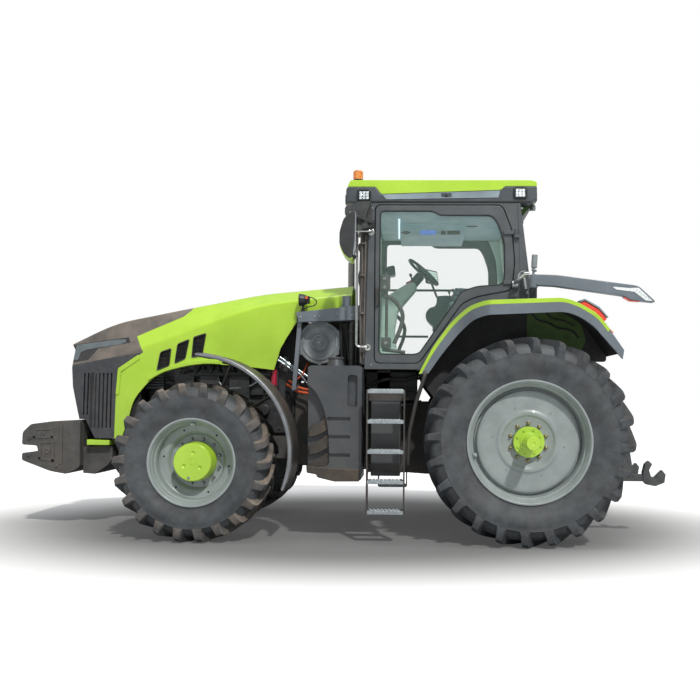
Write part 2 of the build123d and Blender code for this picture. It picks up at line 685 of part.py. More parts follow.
nodes["air_cleaner"] = box((1760, 2060), (-drive_half, drive_half), (1480, 2050))
cleaner_end = beam_in - 5
cover = [(drive_half - 1, 0), (drive_half - 1, 215), (cleaner_end - 30, 215), (cleaner_end - 22, 205),
         (cleaner_end - 22, 190), (cleaner_end - 40, 182), (cleaner_end - 40, 80), (cleaner_end - 14, 72),
         (cleaner_end - 14, 30), (cleaner_end, 28), (cleaner_end, 0)]
nodes["air_cleaner"] += turned(cover, 1973, 0, 1874)

exhaust = rod((1762, -750, 1740), (1762, -750, 2882), 38)
exhaust += rod((1762, -750, 1780), (1762, -750, 2500), 75)
exhaust += box((1712, 1812), (-790, -drive_half), (1725, 1800))
nodes["exhaust_stack"] = exhaust

# ------------------------------------------------------------------ bonnet
# station, half width, crease half width, crease height, top half width, top height
bonnet_table = [
    (1600, 428, 426, 2362, 262, 2466),
    (2208, 440, 438, 2291, 255, 2410),
    (2574, 446, 444, 2234, 250, 2372),
    (3045, 450, 446, 2075, 250, 2285),
    (3677, 445, 440, 1842, 245, 2160),
    (4100, 425, 420, 1700, 240, 2062),
    (4600, 320, 315, 1600, 195, 1845),
]


def bonnet_body(inset, low):
    """Closed body through the stations, drawn in by the inset."""
    loops = []
    for x, y_side, y_crease, z_crease, y_top, z_top in bonnet_table:
        points = [(y_side - inset, low), (y_crease - inset, z_crease - inset / 2),
                  (y_top - inset, z_top - inset), (0, z_top + bonnet_crown - inset)]
        points += [(-y, z) for y, z in points[-2::-1]]
        loops.append(make_face(Polyline(*[(x, y, z) for y, z in points], close=True)))
    return loft(loops, ruled=True)


slat_x = 4062            # first upright slot in the grille's side
slat_pitch = 42
slot_w = 24
front_line = [(4417, 1095), (4493, 1421), (4507, 1643), (4513, 1800), (4560, 1861)]
belly = [(1659, 2238), (2206, 2168), (2206, 2076), (2301, 1926), (2364, 1814), (2428, 1600), (2699, 1631),
         (2966, 1651), (3107, 1657), (3291, 1635), (3526, 1574), (3681, 1482), (3836, 1297),
         (3905, 1040), (3960, bonnet_low), (4240, bonnet_low), (4345, 1092)]
whole_side = belly + front_line + [(4560, 2600), (bonnet_back, 2600)]
inside_front = [(x - sheet, z) for x, z in front_line[:-1]]
inside_side = [(1500, 800), (4200, 800), (4330, 1095)] + inside_front + [(4513, 2600), (1500, 2600)]
outer = bonnet_body(0, 850) & side(whole_side, -500, 500)
inner = bonnet_body(sheet, 800) & side(inside_side, -500, 500)
shell = outer - inner

lime_area = [(1500, 2700), (3250, 2700), (3250, 2300), (3311, 2201), (3380, 2138), (3835, 1934),
             (3741, 1769), (3995, 1606), (4017, 1342), (4031, 950), (4035, 800), (1500, 800)]
upper_area = [(3250, 2700), (3250, 2300), (3311, 2201), (3380, 2138), (3835, 1934), (3741, 1769),
              (3800, 1757), (4700, 1612), (4700, 2700)]
lamp_area = [(4700, 1838), (3924, 1925), (3890, 1868), (4240, 1812), (4335, 1690), (4700, 1640)]
vents = [[(3604, 1583), (3566, 1773), (3455, 1813), (3474, 1633)],
         [(3424, 1654), (3395, 1854), (3274, 1904), (3313, 1704)],
         [(3253, 1715), (3234, 1925), (3104, 1965), (3143, 1735)]]

hood = shell & side(lime_area, -500, 500)
for vent in vents:
    hood -= side(vent, -500, 500)
hood -= rod((hinge_x, -500, hinge_z), (hinge_x, 500, hinge_z), hinge_r + pin_clear)
upper = (shell & side(upper_area, -500, 500)) - side(lime_area, -500, 500)
lamps = upper & side(lamp_area, -500, 500)
grille = shell - side(lime_area, -500, 500) - side(upper_area, -500, 500)
nodes["hood_shell"] = hood
nodes["nose_cap"] = upper - side(lamp_area, -500, 500)
nodes["headlamps"] = lamps
for i in range(8):
    x = slat_x + i * slat_pitch
    grille -= side([(x, 1000), (x + slot_w, 1000), (x + slot_w - 12, 1560), (x - 12, 1560)], -500, 500)
for i in range(5):
    for y in (i * slat_pitch, -i * slat_pitch):
        grille -= box((4340, 4600), (y - slot_w / 2, y + slot_w / 2), (1130, 1560))
nodes["front_grille"] = grille

# ------------------------------------------------------------------ lamps, mirrors, booms
lamp_solids = []
for x0, x1, z0, z1 in ((1459, 1577, 3196, 3286), (-13, 105, 3218, 3314)):
    lamp_solids += solids(both(box((x0, x1), (roof_half, roof_half + 16), (z0, z1))))
for y in (260, 560):
    lamp_solids += solids(both(box((1689, 1712), (y, y + 120), (3195, 3285))))
    lamp_solids += solids(both(box((-140, -112), (y, y + 120), (3225, 3310))))
stalk = side([(2110, beam_height(2110)), (2146, beam_height(2146)), (2146, 2190), (2110, 2190)], 512, 548)
stalk += rod((2128, 530, 2180), (2128, 530, 2230), 10) + box((2080, 2176), (490, 570), (2225, 2347))
lamp_solids += solids(both(stalk))
beacon = rod((1590, 600, roof_top), (1590, 600, 3444), 40) + rod((1590, 600, 3440), (1590, 600, 3532), 47)
lamp_solids += solids(beacon)
nodes["work_lamps"] = Compound(children=lamp_solids)

tail = side([(-420, 2178), (-590, 2080), (-650, 1999), (-692, 2052), (-480, 2204)], 1000, 1200)
nodes["tail_lamps"] = both(tail)

boom_side = [(-60, 2464), (-260, 2459), (-997, 2364), (-1150, 2224), (-1141, 2211), (-925, 2232),
             (-872, 2268), (-243, 2356), (-60, 2364)]
boom = side(boom_side, 960, 1040) + box((-90, 46), (960, 1040), (2290, 2454))
boom += side([(-50, fender_height(-50)), (10, fender_height(10)), (10, 2300), (-50, 2300)], 970, 1030)
nodes["lamp_booms"] = both(boom)

head = side([(1560, 2986), (1660, 2986), (1700, 2860), (1706, 2700), (1670, 2590), (1600, 2556),
             (1560, 2556)], cab_half + 210, cab_half + 460)
mirror_z = 2970
arm_x = front_wall_x(mirror_z)
arm = tube_path([(arm_x, cab_half, mirror_z), (arm_x, cab_half + 50, mirror_z),
                 (1600, cab_half + 200, 3010), (1630, cab_half + 300, 3010),
                 (1630, cab_half + 310, 2960)], [40, 40, 18], 16)
nodes["mirrors"] = both(head + arm)

# ------------------------------------------------------------------ rear hitch
px, pz = link_pivot
rod_x = px - link_rod_reach
link_side = [(px + 40, pz + 30), (px + 40, pz - 30), (link_end, pz - 30), (link_end, pz + 40)]
hook = [(-1249, 500), (-1330, 484), (-1420, 520), (-1431, 600), (-1400, 640), (-1360, 600), (-1330, 570),
        (-1290, 580), (-1270, 640), (-1300, 700), (-1270, 730), (-1235, 700), (-1215, 620), (-1215, 540)]
link = side(link_side, link_y - 25, link_y + 25) + side(hook, link_y - 35, link_y + 35)
link -= rod((px, link_y - 60, pz), (px, link_y + 60, pz), hitch_pin_r + pin_clear)
pin = rod((rod_x, link_y - 60, pz + pin_rise), (rod_x, link_y + 60, pz + pin_rise), hitch_pin_r)
nodes["lower_links"] = both(link + pin)

lift = rod((px, -330, lift_pivot_z), (px, 330, lift_pivot_z), 45)
arm_side = [(px + 50, lift_pivot_z + 50), (px + 50, lift_pivot_z - 50), (rod_x - 30, lift_pivot_z - 25),
            (rod_x - 30, lift_pivot_z + 35)]
for s in (-1, 1):
    y0, y1 = sorted((s * 290, s * 330))
    lift += side(arm_side, y0, y1)
    pin_z = lift_pivot_z + pin_rise
    lift += rod((rod_x, s * 300, pin_z), (rod_x, s * (link_y + 30), pin_z), hitch_pin_r)
nodes["lift_arms"] = lift

rods = []
for s in (-1, 1):
    y0, y1 = sorted((s * (link_y - 70), s * (link_y - 40)))
    eye_z = (pz + 5, lift_pivot_z + pin_rise)
    bar = rod((rod_x, s * (link_y - 55), eye_z[0]), (rod_x, s * (link_y - 55), eye_z[1]), 24)
    for z in eye_z:
        bar += rod((rod_x, y0, z), (rod_x, y1, z), 40)
        gap = pin_clear if z == eye_z[1] else 4
        bar -= rod((rod_x, y0 - 12, z), (rod_x, y1 + 12, z), hitch_pin_r + gap)
    rods += solids(bar)
nodes["lift_rods"] = Compound(children=rods)

hitch = box((-460, gearbox_back), (-drive_half, drive_half), (540, 1150))
for s in (-1, 1):
    hitch += box((-460, gearbox_back), (s * 150, s * 200), (1150, 1300))
    hitch += box((px - 40, px + 40), (s * drive_half, s * 410), (pz - 35, pz + 60))
    hitch += rod((px, s * 400, pz), (px, s * 500, pz), hitch_pin_r)
hitch -= rod((px, -210, lift_pivot_z), (px, 210, lift_pivot_z), 45 + pin_clear)
drawbar_top = drawbar_z + drawbar_t
drawbar = box((drawbar_end, -400), (-45, 45), (drawbar_z, drawbar_top))
drawbar -= rod((drawbar_pin_x, 0, drawbar_z - 1), (drawbar_pin_x, 0, drawbar_top + 1), drawbar_pin_r)
drawbar += box((-460, -400), (-60, 60), (drawbar_z - 20, 540))
pto = rod((-460, 0, pto_z), (-460 - pto_length, 0, pto_z), pto_r)
pto += rod((-460, 0, pto_z), (-475, 0, pto_z), 60)
hitch += drawbar + pto
for s in (-1, 1):
    ear = box((top_link_x - 40, -460), (s * 28, s * 58), (top_link_z - 40, top_link_z + 40))
    hitch += ear
hitch -= rod((top_link_x, -60, top_link_z), (top_link_x, 60, top_link_z), hitch_pin_r)
nodes["rear_hitch"] = hitch

# ------------------------------------------------------------------ place and write
lows = [piece.bounding_box() for piece in nodes.values()]
middle_x = (max(b.max.X for b in lows) + min(b.min.X for b in lows)) / 2

if __name__ == "__main__":
    os.makedirs("parts", exist_ok=True)
    for name, piece in nodes.items():
        placed = [Pos(-middle_x, 0, 0) * solid for solid in piece.solids()]
        export_step(Compound(placed), f"parts/{name}.step")
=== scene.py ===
import json
import math

import bmesh
import bpy
from mathutils import Matrix, Vector


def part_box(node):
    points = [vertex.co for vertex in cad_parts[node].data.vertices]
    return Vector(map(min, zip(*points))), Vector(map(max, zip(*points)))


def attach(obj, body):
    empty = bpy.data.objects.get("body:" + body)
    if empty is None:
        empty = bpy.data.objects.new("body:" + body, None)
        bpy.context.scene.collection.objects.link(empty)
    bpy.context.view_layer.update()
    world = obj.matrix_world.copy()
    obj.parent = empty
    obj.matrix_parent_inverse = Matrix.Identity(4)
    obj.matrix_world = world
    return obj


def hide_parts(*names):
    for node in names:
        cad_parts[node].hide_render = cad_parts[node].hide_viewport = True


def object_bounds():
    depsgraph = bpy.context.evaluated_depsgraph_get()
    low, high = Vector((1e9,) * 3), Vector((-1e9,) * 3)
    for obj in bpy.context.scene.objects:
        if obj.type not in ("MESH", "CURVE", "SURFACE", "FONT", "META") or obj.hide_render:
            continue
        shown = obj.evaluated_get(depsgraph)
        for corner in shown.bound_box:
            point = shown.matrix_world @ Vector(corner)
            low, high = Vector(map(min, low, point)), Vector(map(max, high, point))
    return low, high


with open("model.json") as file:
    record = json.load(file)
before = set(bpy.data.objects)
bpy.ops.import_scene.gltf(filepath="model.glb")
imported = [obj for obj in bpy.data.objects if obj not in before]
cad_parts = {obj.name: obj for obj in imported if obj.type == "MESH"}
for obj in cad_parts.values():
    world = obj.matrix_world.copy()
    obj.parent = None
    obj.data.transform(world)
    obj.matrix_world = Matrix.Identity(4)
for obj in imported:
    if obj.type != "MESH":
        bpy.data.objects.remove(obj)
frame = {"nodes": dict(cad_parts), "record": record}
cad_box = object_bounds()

scene = bpy.context.scene

# Camera: eight metres to the left of the machine, at chest height and a little ahead of its
# middle. The lens stands slightly off the centre of the picture.
rear_low, rear_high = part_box("tyre_rear_left")
axle_x = (rear_low.x + rear_high.x) / 2


def at(x, y, z):
    """A place in millimetres: forward of the rear axle, left of the middle, above the ground."""
    return Vector((axle_x + x / 1000, y / 1000, z / 1000))


camera_data = bpy.data.cameras.new("camera")
camera_data.sensor_width = 36
camera_data.lens = 39.92
camera_data.shift_x = -0.0665
camera_data.shift_y = 0.0731
camera = bpy.data.objects.new("camera", camera_data)
scene.collection.objects.link(camera)
yaw, roll = 0.0247, 0.0073
forward = Vector((math.sin(yaw), -math.cos(yaw), 0))
level = forward.cross(Vector((0, 0, 1)))
right = level * math.cos(roll) + Vector((0, 0, 1)) * math.sin(roll)
up = right.cross(forward)
camera.matrix_world = Matrix.Translation(at(1015.6, 8131.8, 1298.2)) @ Matrix((right, up,
        -forward)).transposed().to_4x4()
scene.camera = camera

# Floor and light: a pale sheet of vinyl under a warm key lamp, a broad soft lamp overhead and an even white
# room. The room shows white to the eye without lighting the paint more. A wide grey pool of painted shadow
# lies on the floor round the machine.
scene.view_settings.view_transform = "Standard"


def linear(code, alpha=1.0):
    """The linear colour of an sRGB hex code."""
    channels = [int(code[i:i + 2], 16) / 255 for i in (0, 2, 4)]
    return (*[c / 12.92 if c <= 0.04045 else ((c + 0.055) / 1.055) ** 2.4 for c in channels], alpha)


def add(tree, kind, settings=None, links=None):
    """Adds a node with its settings and links."""
    made = tree.nodes.new(kind)
    for key, value in (settings or {}).items():
        if isinstance(key, int) or key in made.inputs:
            made.inputs[key].default_value = value
        else:
            setattr(made, key, value)
    for key, socket in (links or {}).items():
        tree.links.new(socket, made.inputs[key])
    return made


world = bpy.data.worlds.new("room")
scene.world = world
world.use_nodes = True
world.node_tree.nodes.clear()
path = add(world.node_tree, "ShaderNodeLightPath")
room_seen = add(world.node_tree, "ShaderNodeBackground", {"Color": linear("ffffff"), "Strength": 1.0})
room_light = add(world.node_tree, "ShaderNodeBackground", {"Color": linear("f4f7fa"), "Strength": 0.46})
seen = add(world.node_tree, "ShaderNodeMath", {"operation": "MAXIMUM"})
world.node_tree.links.new(path.outputs["Is Camera Ray"], seen.inputs[0])
world.node_tree.links.new(path.outputs["Is Transmission Ray"], seen.inputs[1])
room = add(world.node_tree, "ShaderNodeMixShader", None, {0: seen.outputs[0]})
world.node_tree.links.new(room_light.outputs[0], room.inputs[1])
world.node_tree.links.new(room_seen.outputs[0], room.inputs[2])
add(world.node_tree, "ShaderNodeOutputWorld", None, {"Surface": room.outputs[0]})

floor_mesh = bpy.data.meshes.new("floor")
floor_mesh.from_pydata([(-60, -60, 0), (60, -60, 0), (60, 60, 0), (-60, 60, 0)], [], [(0, 1, 2, 3)])
floor = bpy.data.objects.new("floor", floor_mesh)
scene.collection.objects.link(floor)
floor.location.z = cad_box[0][2] - 0.001
vinyl = bpy.data.materials.new("matt_white_vinyl_with_painted_shadow_pool")
vinyl.use_nodes = True
tree = vinyl.node_tree
tree.nodes.clear()
place = add(tree, "ShaderNodeNewGeometry")
# Painted shadow pool: within an ellipse round the machine the floor is drawn mid grey and glows less to the
# eye, fading to white outwards.
squeezed = add(tree, "ShaderNodeMapping", {"Location": (0.04, 0.02, 0), "Scale": (0.3, 0.45, 1)},
               {"Vector": place.outputs["Position"]})
reach = add(tree, "ShaderNodeVectorMath", {"operation": "LENGTH"}, {0: squeezed.outputs[0]})
painted_pool_fade = add(tree, "ShaderNodeMapRange", {"interpolation_type": "SMOOTHSTEP", "From Min": 0.7,
                                        "From Max": 1.62}, {"Value": reach.outputs["Value"]})
painted_pool_tone = add(tree, "ShaderNodeMix", {"data_type": "RGBA", 6: linear("727272"), 7: linear("f6f6f6")},
           {0: painted_pool_fade.outputs["Result"]})
lit = add(tree, "ShaderNodeBsdfDiffuse", None, {"Color": painted_pool_tone.outputs[2]})
glow = add(tree, "ShaderNodeEmission", {"Color": linear("ffffff"), "Strength": 0.22})
path = add(tree, "ShaderNodeLightPath")
glow_seen = add(tree, "ShaderNodeMixShader", None, {0: path.outputs["Is Camera Ray"]})
painted_pool_glow = add(tree, "ShaderNodeMath", {"operation": "MULTIPLY_ADD", 1: 0.24, 2: 0.06},
             {0: painted_pool_fade.outputs["Result"]})
tree.links.new(painted_pool_glow.outputs[0], glow.inputs["Strength"])
tree.links.new(glow.outputs[0], glow_seen.inputs[2])
total = add(tree, "ShaderNodeAddShader")
tree.links.new(lit.outputs[0], total.inputs[0])
tree.links.new(glow_seen.outputs[0], total.inputs[1])
add(tree, "ShaderNodeOutputMaterial", None, {"Surface": total.outputs[0]})
floor_mesh.materials.append(vinyl)

key = bpy.data.lights.new("key", "SUN")
key.energy = 2.35
key.angle = math.radians(3)
key.color = (1.0, 0.975, 0.94)
key_lamp = bpy.data.objects.new("key", key)
key_lamp.rotation_euler = Vector((0.4, -0.88, -1.0)).to_track_quat("-Z", "Y").to_euler()
scene.collection.objects.link(key_lamp)
over = bpy.data.lights.new("overhead", "AREA")
over.shape = "RECTANGLE"
over.size, over.size_y = 5, 5
over.energy = 170
over_lamp = bpy.data.objects.new("overhead", over)
over_lamp.location = (-1.2, 1.2, 6.6)
scene.collection.objects.link(over_lamp)

# Tyres: bias-ply farm tyres of black natural rubber, vulcanised in a mould that leaves satin
# walls and sharp lug edges. Bent lugs run from the middle of the tread out over the shoulder.
# Soil dries pale brown on the lugs and in between.


def surface(name, colour, roughness, metallic=0.0, settings=None):
    """A material and its tree and shader, starting from one finish."""
    made = bpy.data.materials.new(name)
    made.use_nodes = True
    shader = made.node_tree.nodes["Principled BSDF"]
    shader.inputs["Base Color"].default_value = linear(colour)
    shader.inputs["Roughness"].default_value = roughness
    shader.inputs["Metallic"].default_value = metallic
    for key, value in (settings or {}).items():
        shader.inputs[key].default_value = value
    return made, made.node_tree, shader


def noise(tree, size_mm, low=0.35, high=0.65, detail=5):
    """Soft patches of a size in millimetres, as a number from 0 to 1."""
    place = add(tree, "ShaderNodeTexCoord")
    cloud = add(tree, "ShaderNodeTexNoise", {"Scale": 1000 / size_mm, "Detail": detail, "Roughness": 0.6},
                {"Vector": place.outputs["Object"]})
    return add(tree, "ShaderNodeMapRange", {"From Min": low, "From Max": high},
               {"Value": cloud.outputs["Fac"]}).outputs["Result"]


def blended(tree, factor, first, second):
    """One colour over another by a factor; each is a hex code or a socket."""
    mixed = add(tree, "ShaderNodeMix", {"data_type": "RGBA"}, {0: factor})
    for place, colour in ((6, first), (7, second)):
        if isinstance(colour, str):
            mixed.inputs[place].default_value = linear(colour)
        else:
            tree.links.new(colour, mixed.inputs[place])
    return mixed.outputs[2]


def soil(tree, amount, size_mm, upward=0.6):
    """How much dried soil lies on a face: patchy, and more of it where the face looks up."""
    facing = add(tree, "ShaderNodeSeparateXYZ", None,
                 {0: add(tree, "ShaderNodeNewGeometry").outputs["Normal"]})
    lying = add(tree, "ShaderNodeMapRange", {"From Min": -0.3, "From Max": 1.0, "To Min": 1 - upward,
                                             "To Max": 1.0}, {"Value": facing.outputs["Z"]})
    patchy = add(tree, "ShaderNodeMath", {"operation": "MULTIPLY"}, {0: noise(tree, size_mm, 0.3, 0.72),
            1: lying.outputs["Result"]})
    return add(tree, "ShaderNodeMath", {"operation": "MULTIPLY", 1: amount},
               {0: patchy.outputs[0]}).outputs[0]


def bumped(tree, shader, size_mm, depth_mm, detail=4):
    """Fine relief of a real size, both in millimetres."""
    height = noise(tree, size_mm, 0.25, 0.75, detail)
    relief = add(tree, "ShaderNodeBump", {"Distance": depth_mm / 1000, "Strength": 1.0}, {"Height": height})
    tree.links.new(relief.outputs["Normal"], shader.inputs["Normal"])


def finished(name, colour, roughness, clouds, relief, dust=None, metallic=0.0, settings=None):
    """A whole finish: clouds (mm, two colours), relief (mm across, mm deep), dust (colour, amount, mm)."""
    made, tree, shader = surface(name, colour, roughness, metallic, settings)
    size, first, second, *spread = clouds
    base = blended(tree, noise(tree, size, *spread), first, second)
    if dust:
        base = blended(tree, soil(tree, *dust[1:]), base, dust[0])
    tree.links.new(base, shader.inputs["Base Color"])
    bumped(tree, shader, *relief)
    return made


tread_rubber = {}
for end, dust, amount, upward in (("rear", "6d6358", 0.35, 0.9), ("front", "9c8c7b", 0.9, 0.85)):
    tread_rubber[end], tree, shader = surface(f"moulded_tread_rubber_{end}", "303231", 0.72)
    worn = blended(tree, noise(tree, 90), "2c3034", "454b50")
    tree.links.new(blended(tree, soil(tree, amount, 160, upward), worn, dust), shader.inputs["Base Color"])
    bumped(tree, shader, 9, 0.9)
wall_rubber = finished("moulded_sidewall_rubber", "34373a", 0.6, (140, "34393d", "4b5155"), (14, 0.8),
                       ("6e6155", 0.16, 230, 0.3))


def skinned(bm, loops, slot=0):
    """Faces from each closed loop of corners to the next."""
    for near, far in zip(loops, loops[1:]):
        for i in range(len(near)):
            j = (i + 1) % len(near)
            bm.faces.new((near[i], near[j], far[j], far[i])).material_index = slot


def revolved(bm, profile, centre, segments, slot=0):
    """Skin of (offset along the axle, radius) points in millimetres, turned about the axle."""
    loops = []
    for offset, radius in profile:
        turn = [2 * math.pi * i / segments for i in range(segments)]
        loops.append([bm.verts.new(centre + Vector((radius * math.cos(a), offset,
                                                    radius * math.sin(a))) / 1000) for a in turn])
    skinned(bm, loops, slot)


def made(name, bm, materials, body, slot, edge=0.0, crease=35, steps=2):
    """Turns a mesh under construction into a piece: edges rounded in mm, placed on its body."""
    bmesh.ops.recalc_face_normals(bm, faces=bm.faces)
    mesh = bpy.data.meshes.new(name)
    bm.to_mesh(mesh)
    bm.free()
    for finish in materials:
        mesh.materials.append(finish)
    piece = bpy.data.objects.new(name, mesh)
    scene.collection.objects.link(piece)
    mesh.shade_smooth()
    mesh.set_sharp_from_angle(angle=math.radians(crease))
    if edge:
        rounding = piece.modifiers.new("rounding", "BEVEL")
        rounding.width = edge / 1000
        rounding.segments = steps
        rounding.limit_method = "ANGLE"
        rounding.angle_limit = math.radians(crease)
        mesh.shade_smooth()
        even = piece.modifiers.new("even", "WEIGHTED_NORMAL")
        even.keep_sharp = True
        settle(piece)
    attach(piece, body)
    return piece


def settle(piece):
    """Applies a piece's modifiers."""
    ready = bpy.data.meshes.new_from_object(piece.evaluated_get(bpy.context.evaluated_depsgraph_get()))
    piece.modifiers.clear()
    piece.data = ready


# lug: across, top radius below the tread, across at the foot, foot radius below the tread,
# back along the tread, half width at the top and at the foot, slant; shares of the half width
# for "across", of the wall's height for the depths, the rest in millimetres and degrees
lug_table = [(-0.06, 0.005, -0.06, 0.150, -14, 20, 30, 45), (0.19, 0.0, 0.19, 0.148, 62, 21, 32, 47),
             (0.45, 0.0, 0.45, 0.162, 132, 23, 35, 40), (0.69, 0.005, 0.68, 0.205, 188, 25, 40, 30),
             (0.87, 0.022, 0.84, 0.262, 218, 28, 46, 18), (0.965, 0.09, 0.91, 0.330, 232, 30, 52, 6),
             (0.99, 0.21, 0.935, 0.385, 238, 33, 56, 0), (0.975, 0.345, 0.94, 0.410, 240, 36, 60, 0)]
# wall: across as a share of the half width, height as a share from the rim edge to the tread
wall_table = [(0.80, 0.095), (0.90, 0.24), (0.955, 0.40), (0.962, 0.50), (0.95, 0.575), (0.958, 0.60),
              (0.93, 0.622), (0.885, 0.72), (0.775, 0.82), (0.58, 0.862), (0.3, 0.88)]

sides = ((1, "left"), (-1, "right"))
for end, lug_count, bead, rim_edge in (("rear", 24, 240, 560), ("front", 22, 214, 406)):
    for side, name in sides:
        low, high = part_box(f"tyre_{end}_{name}")
        middle = (low + high) / 2
        tread = (high.x - low.x) * 500
        half = (high.y - low.y) * 500
        height = tread - rim_edge
        outside = [(bead, rim_edge - 26), (bead + 2, rim_edge + 6)]
        outside += [(half * across, rim_edge + height * up) for across, up in wall_table]
        profile = outside + [(0, rim_edge + height * 0.885)] + [(-y, r) for y, r in reversed(outside)]
        bm = bmesh.new()
        revolved(bm, profile + profile[:1], middle, 144)
        bmesh.ops.remove_doubles(bm, verts=bm.verts, dist=1e-6)
        made(f"tyre_body_{end}_{name}", bm, [wall_rubber], f"wheel_{end}_{name}", "tyre_rubber")
        bm = bmesh.new()
        for row in (1, -1):
            for i in range(lug_count):
                start = 2 * math.pi * (i + (0.25 if row == 1 else 0.75)) / lug_count
                rows = []
                for across, down, foot_across, foot_down, along, half_top, half_foot, slant in lug_table:
                    lean = math.radians(slant)
                    corners = []
                    for width, y, r in ((-half_foot, foot_across, foot_down), (-half_top, across, down),
                                        (half_top, across, down), (half_foot, foot_across, foot_down)):
                        turn = start + (along * tread / 940 + width * math.cos(lean)) / tread
                        y = half * y - width * math.sin(lean)
                        r = tread - height * r
                        y = min(y, half)
                        corners.append(bm.verts.new(middle + Vector((r * math.cos(turn), row * y,
                                r * math.sin(turn))) / 1000))
                    rows.append(corners)
                skinned(bm, rows)
                bm.faces.new(rows[0])
                bm.faces.new(rows[-1][::-1])
        lugs = made(f"tyre_lugs_{end}_{name}", bm, [tread_rubber[end]], f"wheel_{end}_{name}",
                    "tyre_rubber", edge=7, crease=28, steps=1)
        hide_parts(f"tyre_{end}_{name}")

# Rims: rolled and welded steel with pressed discs, in silver grey baked enamel. Dust dulls
# the gloss and gathers in the well. A valve stands in the barrel.
rim_enamel = finished("silver_grey_rim_enamel", "8b9596", 0.36, (190, "899394", "97a1a1"), (30, 0.25),
                      ("7f7a70", 0.3, 120, 0.5), settings={"Coat Weight": 0.25})
bolt_brass = finished("yellow_zinc_bolts", "98926c", 0.42, (12, "8d875f", "aaa583"), (6, 0.15),
                      metallic=0.75)
# Near-black painted shade standing for the disc holes, which are not cut through the disc.
painted_hole_shade, tree, shader = surface("painted_shade_in_disc_holes", "141515", 0.9)
tree.links.new(blended(tree, noise(tree, 10), "101111", "1a1b1b"), shader.inputs["Base Color"])

# offset from the disc's bolt face, radius; the disc's outer side from the barrel to the hub
rear_disc = [(-52, 486), (-52, 470), (-20, 466), (-9, 463), (-3, 457), (1, 448), (4, 420), (7, 360),
             (5, 305), (6, 290), (10, 282), (15, 274), (17, 262), (16, 248), (11, 238), (4, 230), (0, 224),
             (0, 142)]
front_disc = [(62, 352), (62, 340), (52, 331), (49, 322), (49, 290), (44, 276), (34, 265), (6, 250),
              (0, 244), (0, 177)]
# offset from the wheel's outer edge, depth below the rim edge; the barrel's outer side
barrel_side = [(-12, 26), (-10, 4), (-6, 0), (-1, 1), (0, 5), (0, 13), (-3, 19), (-10, 22), (-22, 24),
               (-32, 27), (-38, 36), (-50, 40), (-68, 41), (-76, 46), (-82, 56), (-92, 60), (-118, 62),
               (-130, 66)]
for end, disc, dish, rim_edge, width, holes in (("rear", rear_disc, 125, 560, 508, 325), ("front",
        front_disc, 225, 406, 457, 306)):
    for side, name in sides:
        low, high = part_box(f"rim_{end}_{name}")
        middle = (low + high) / 2
        edge, face = width / 2, width / 2 - dish
        inner = [(-o, d) for o, d in barrel_side if o > -100]
        line = [(face + o - 16, r) for o, r in disc[::-1]] + [(face - 40, rim_edge - 76)]
        line += [(-40, rim_edge - 76), (-edge + 90, rim_edge - 60)]
        line += [(o - edge, rim_edge - d) for o, d in inner[::-1]]
        line += [(-edge + 12, rim_edge - 26), (-70, rim_edge - 30), (-46, rim_edge - 68),
                 (46, rim_edge - 68), (70, rim_edge - 30)]
        line += [(edge + o, rim_edge - d) for o, d in barrel_side if edge + o > face + disc[0][0] + 6]
        line += [(face + o, r) for o, r in disc]
        bm = bmesh.new()
        revolved(bm, [(side * y, r) for y, r in line + line[:1]], middle, 128)
        bmesh.ops.remove_doubles(bm, verts=bm.verts, dist=1e-6)
        rim = made(f"rim_shell_{end}_{name}", bm, [rim_enamel], f"wheel_{end}_{name}", "rim_paint", crease=45)
        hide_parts(f"rim_{end}_{name}")
        # Disc holes: shallow cups in painted shade set on the disc's face.
        bm = bmesh.new()
        for i in range(6):
            turn = math.radians(8 + 60 * i)
            spot = middle + Vector((holes * math.cos(turn), side * (face + (5 if end == "rear" else 49)),
                                    holes * math.sin(turn))) / 1000
            revolved(bm, [(side * -3, 9), (side * 1.5, 9), (side * 1.5, 8), (side * 0.5, 7), (side * 0.3,
                    0.1)], spot, 20)
        made(f"disc_holes_{end}_{name}", bm, [painted_hole_shade], f"wheel_{end}_{name}", "rim_paint")
        bm = bmesh.new()
        turn = math.radians(-14 if end == "rear" else 90)
        reach = rim_edge - 62
        spot = middle + Vector((reach * math.cos(turn), side * (edge - 45), reach * math.sin(turn))) / 1000
        revolved(bm, [(side * -70, 9), (side * -8, 9), (side * -6, 20), (side * 6, 20), (side * 9, 17),
                      (side * 12, 9), (side * 30, 8), (side * 32, 5), (side * 32, 0.1)], spot, 20)
        made(f"valve_{end}_{name}", bm, [rim_enamel], f"wheel_{end}_{name}", "rim_paint", crease=50)

# Hubs: ductile iron painted the machine's lime. At the rear a split clamp on a bar axle, held
# by domed nuts; in front the planetary drive's cap with three dimples and an oil plug.
lime_enamel = finished("baked_lime_enamel", "a9d136", 0.3, (420, "a4cc33", "b0d73e"), (60, 0.12), ("8f8a5c",
        0.1, 260, 0.5), settings={"Coat Weight": 0.5, "Coat Roughness": 0.12})
bolt_steel = finished("zinc_plated_bolts", "8b8f8f", 0.38, (14, "7b7f80", "9ea2a2"), (6, 0.12),
                      metallic=0.85)


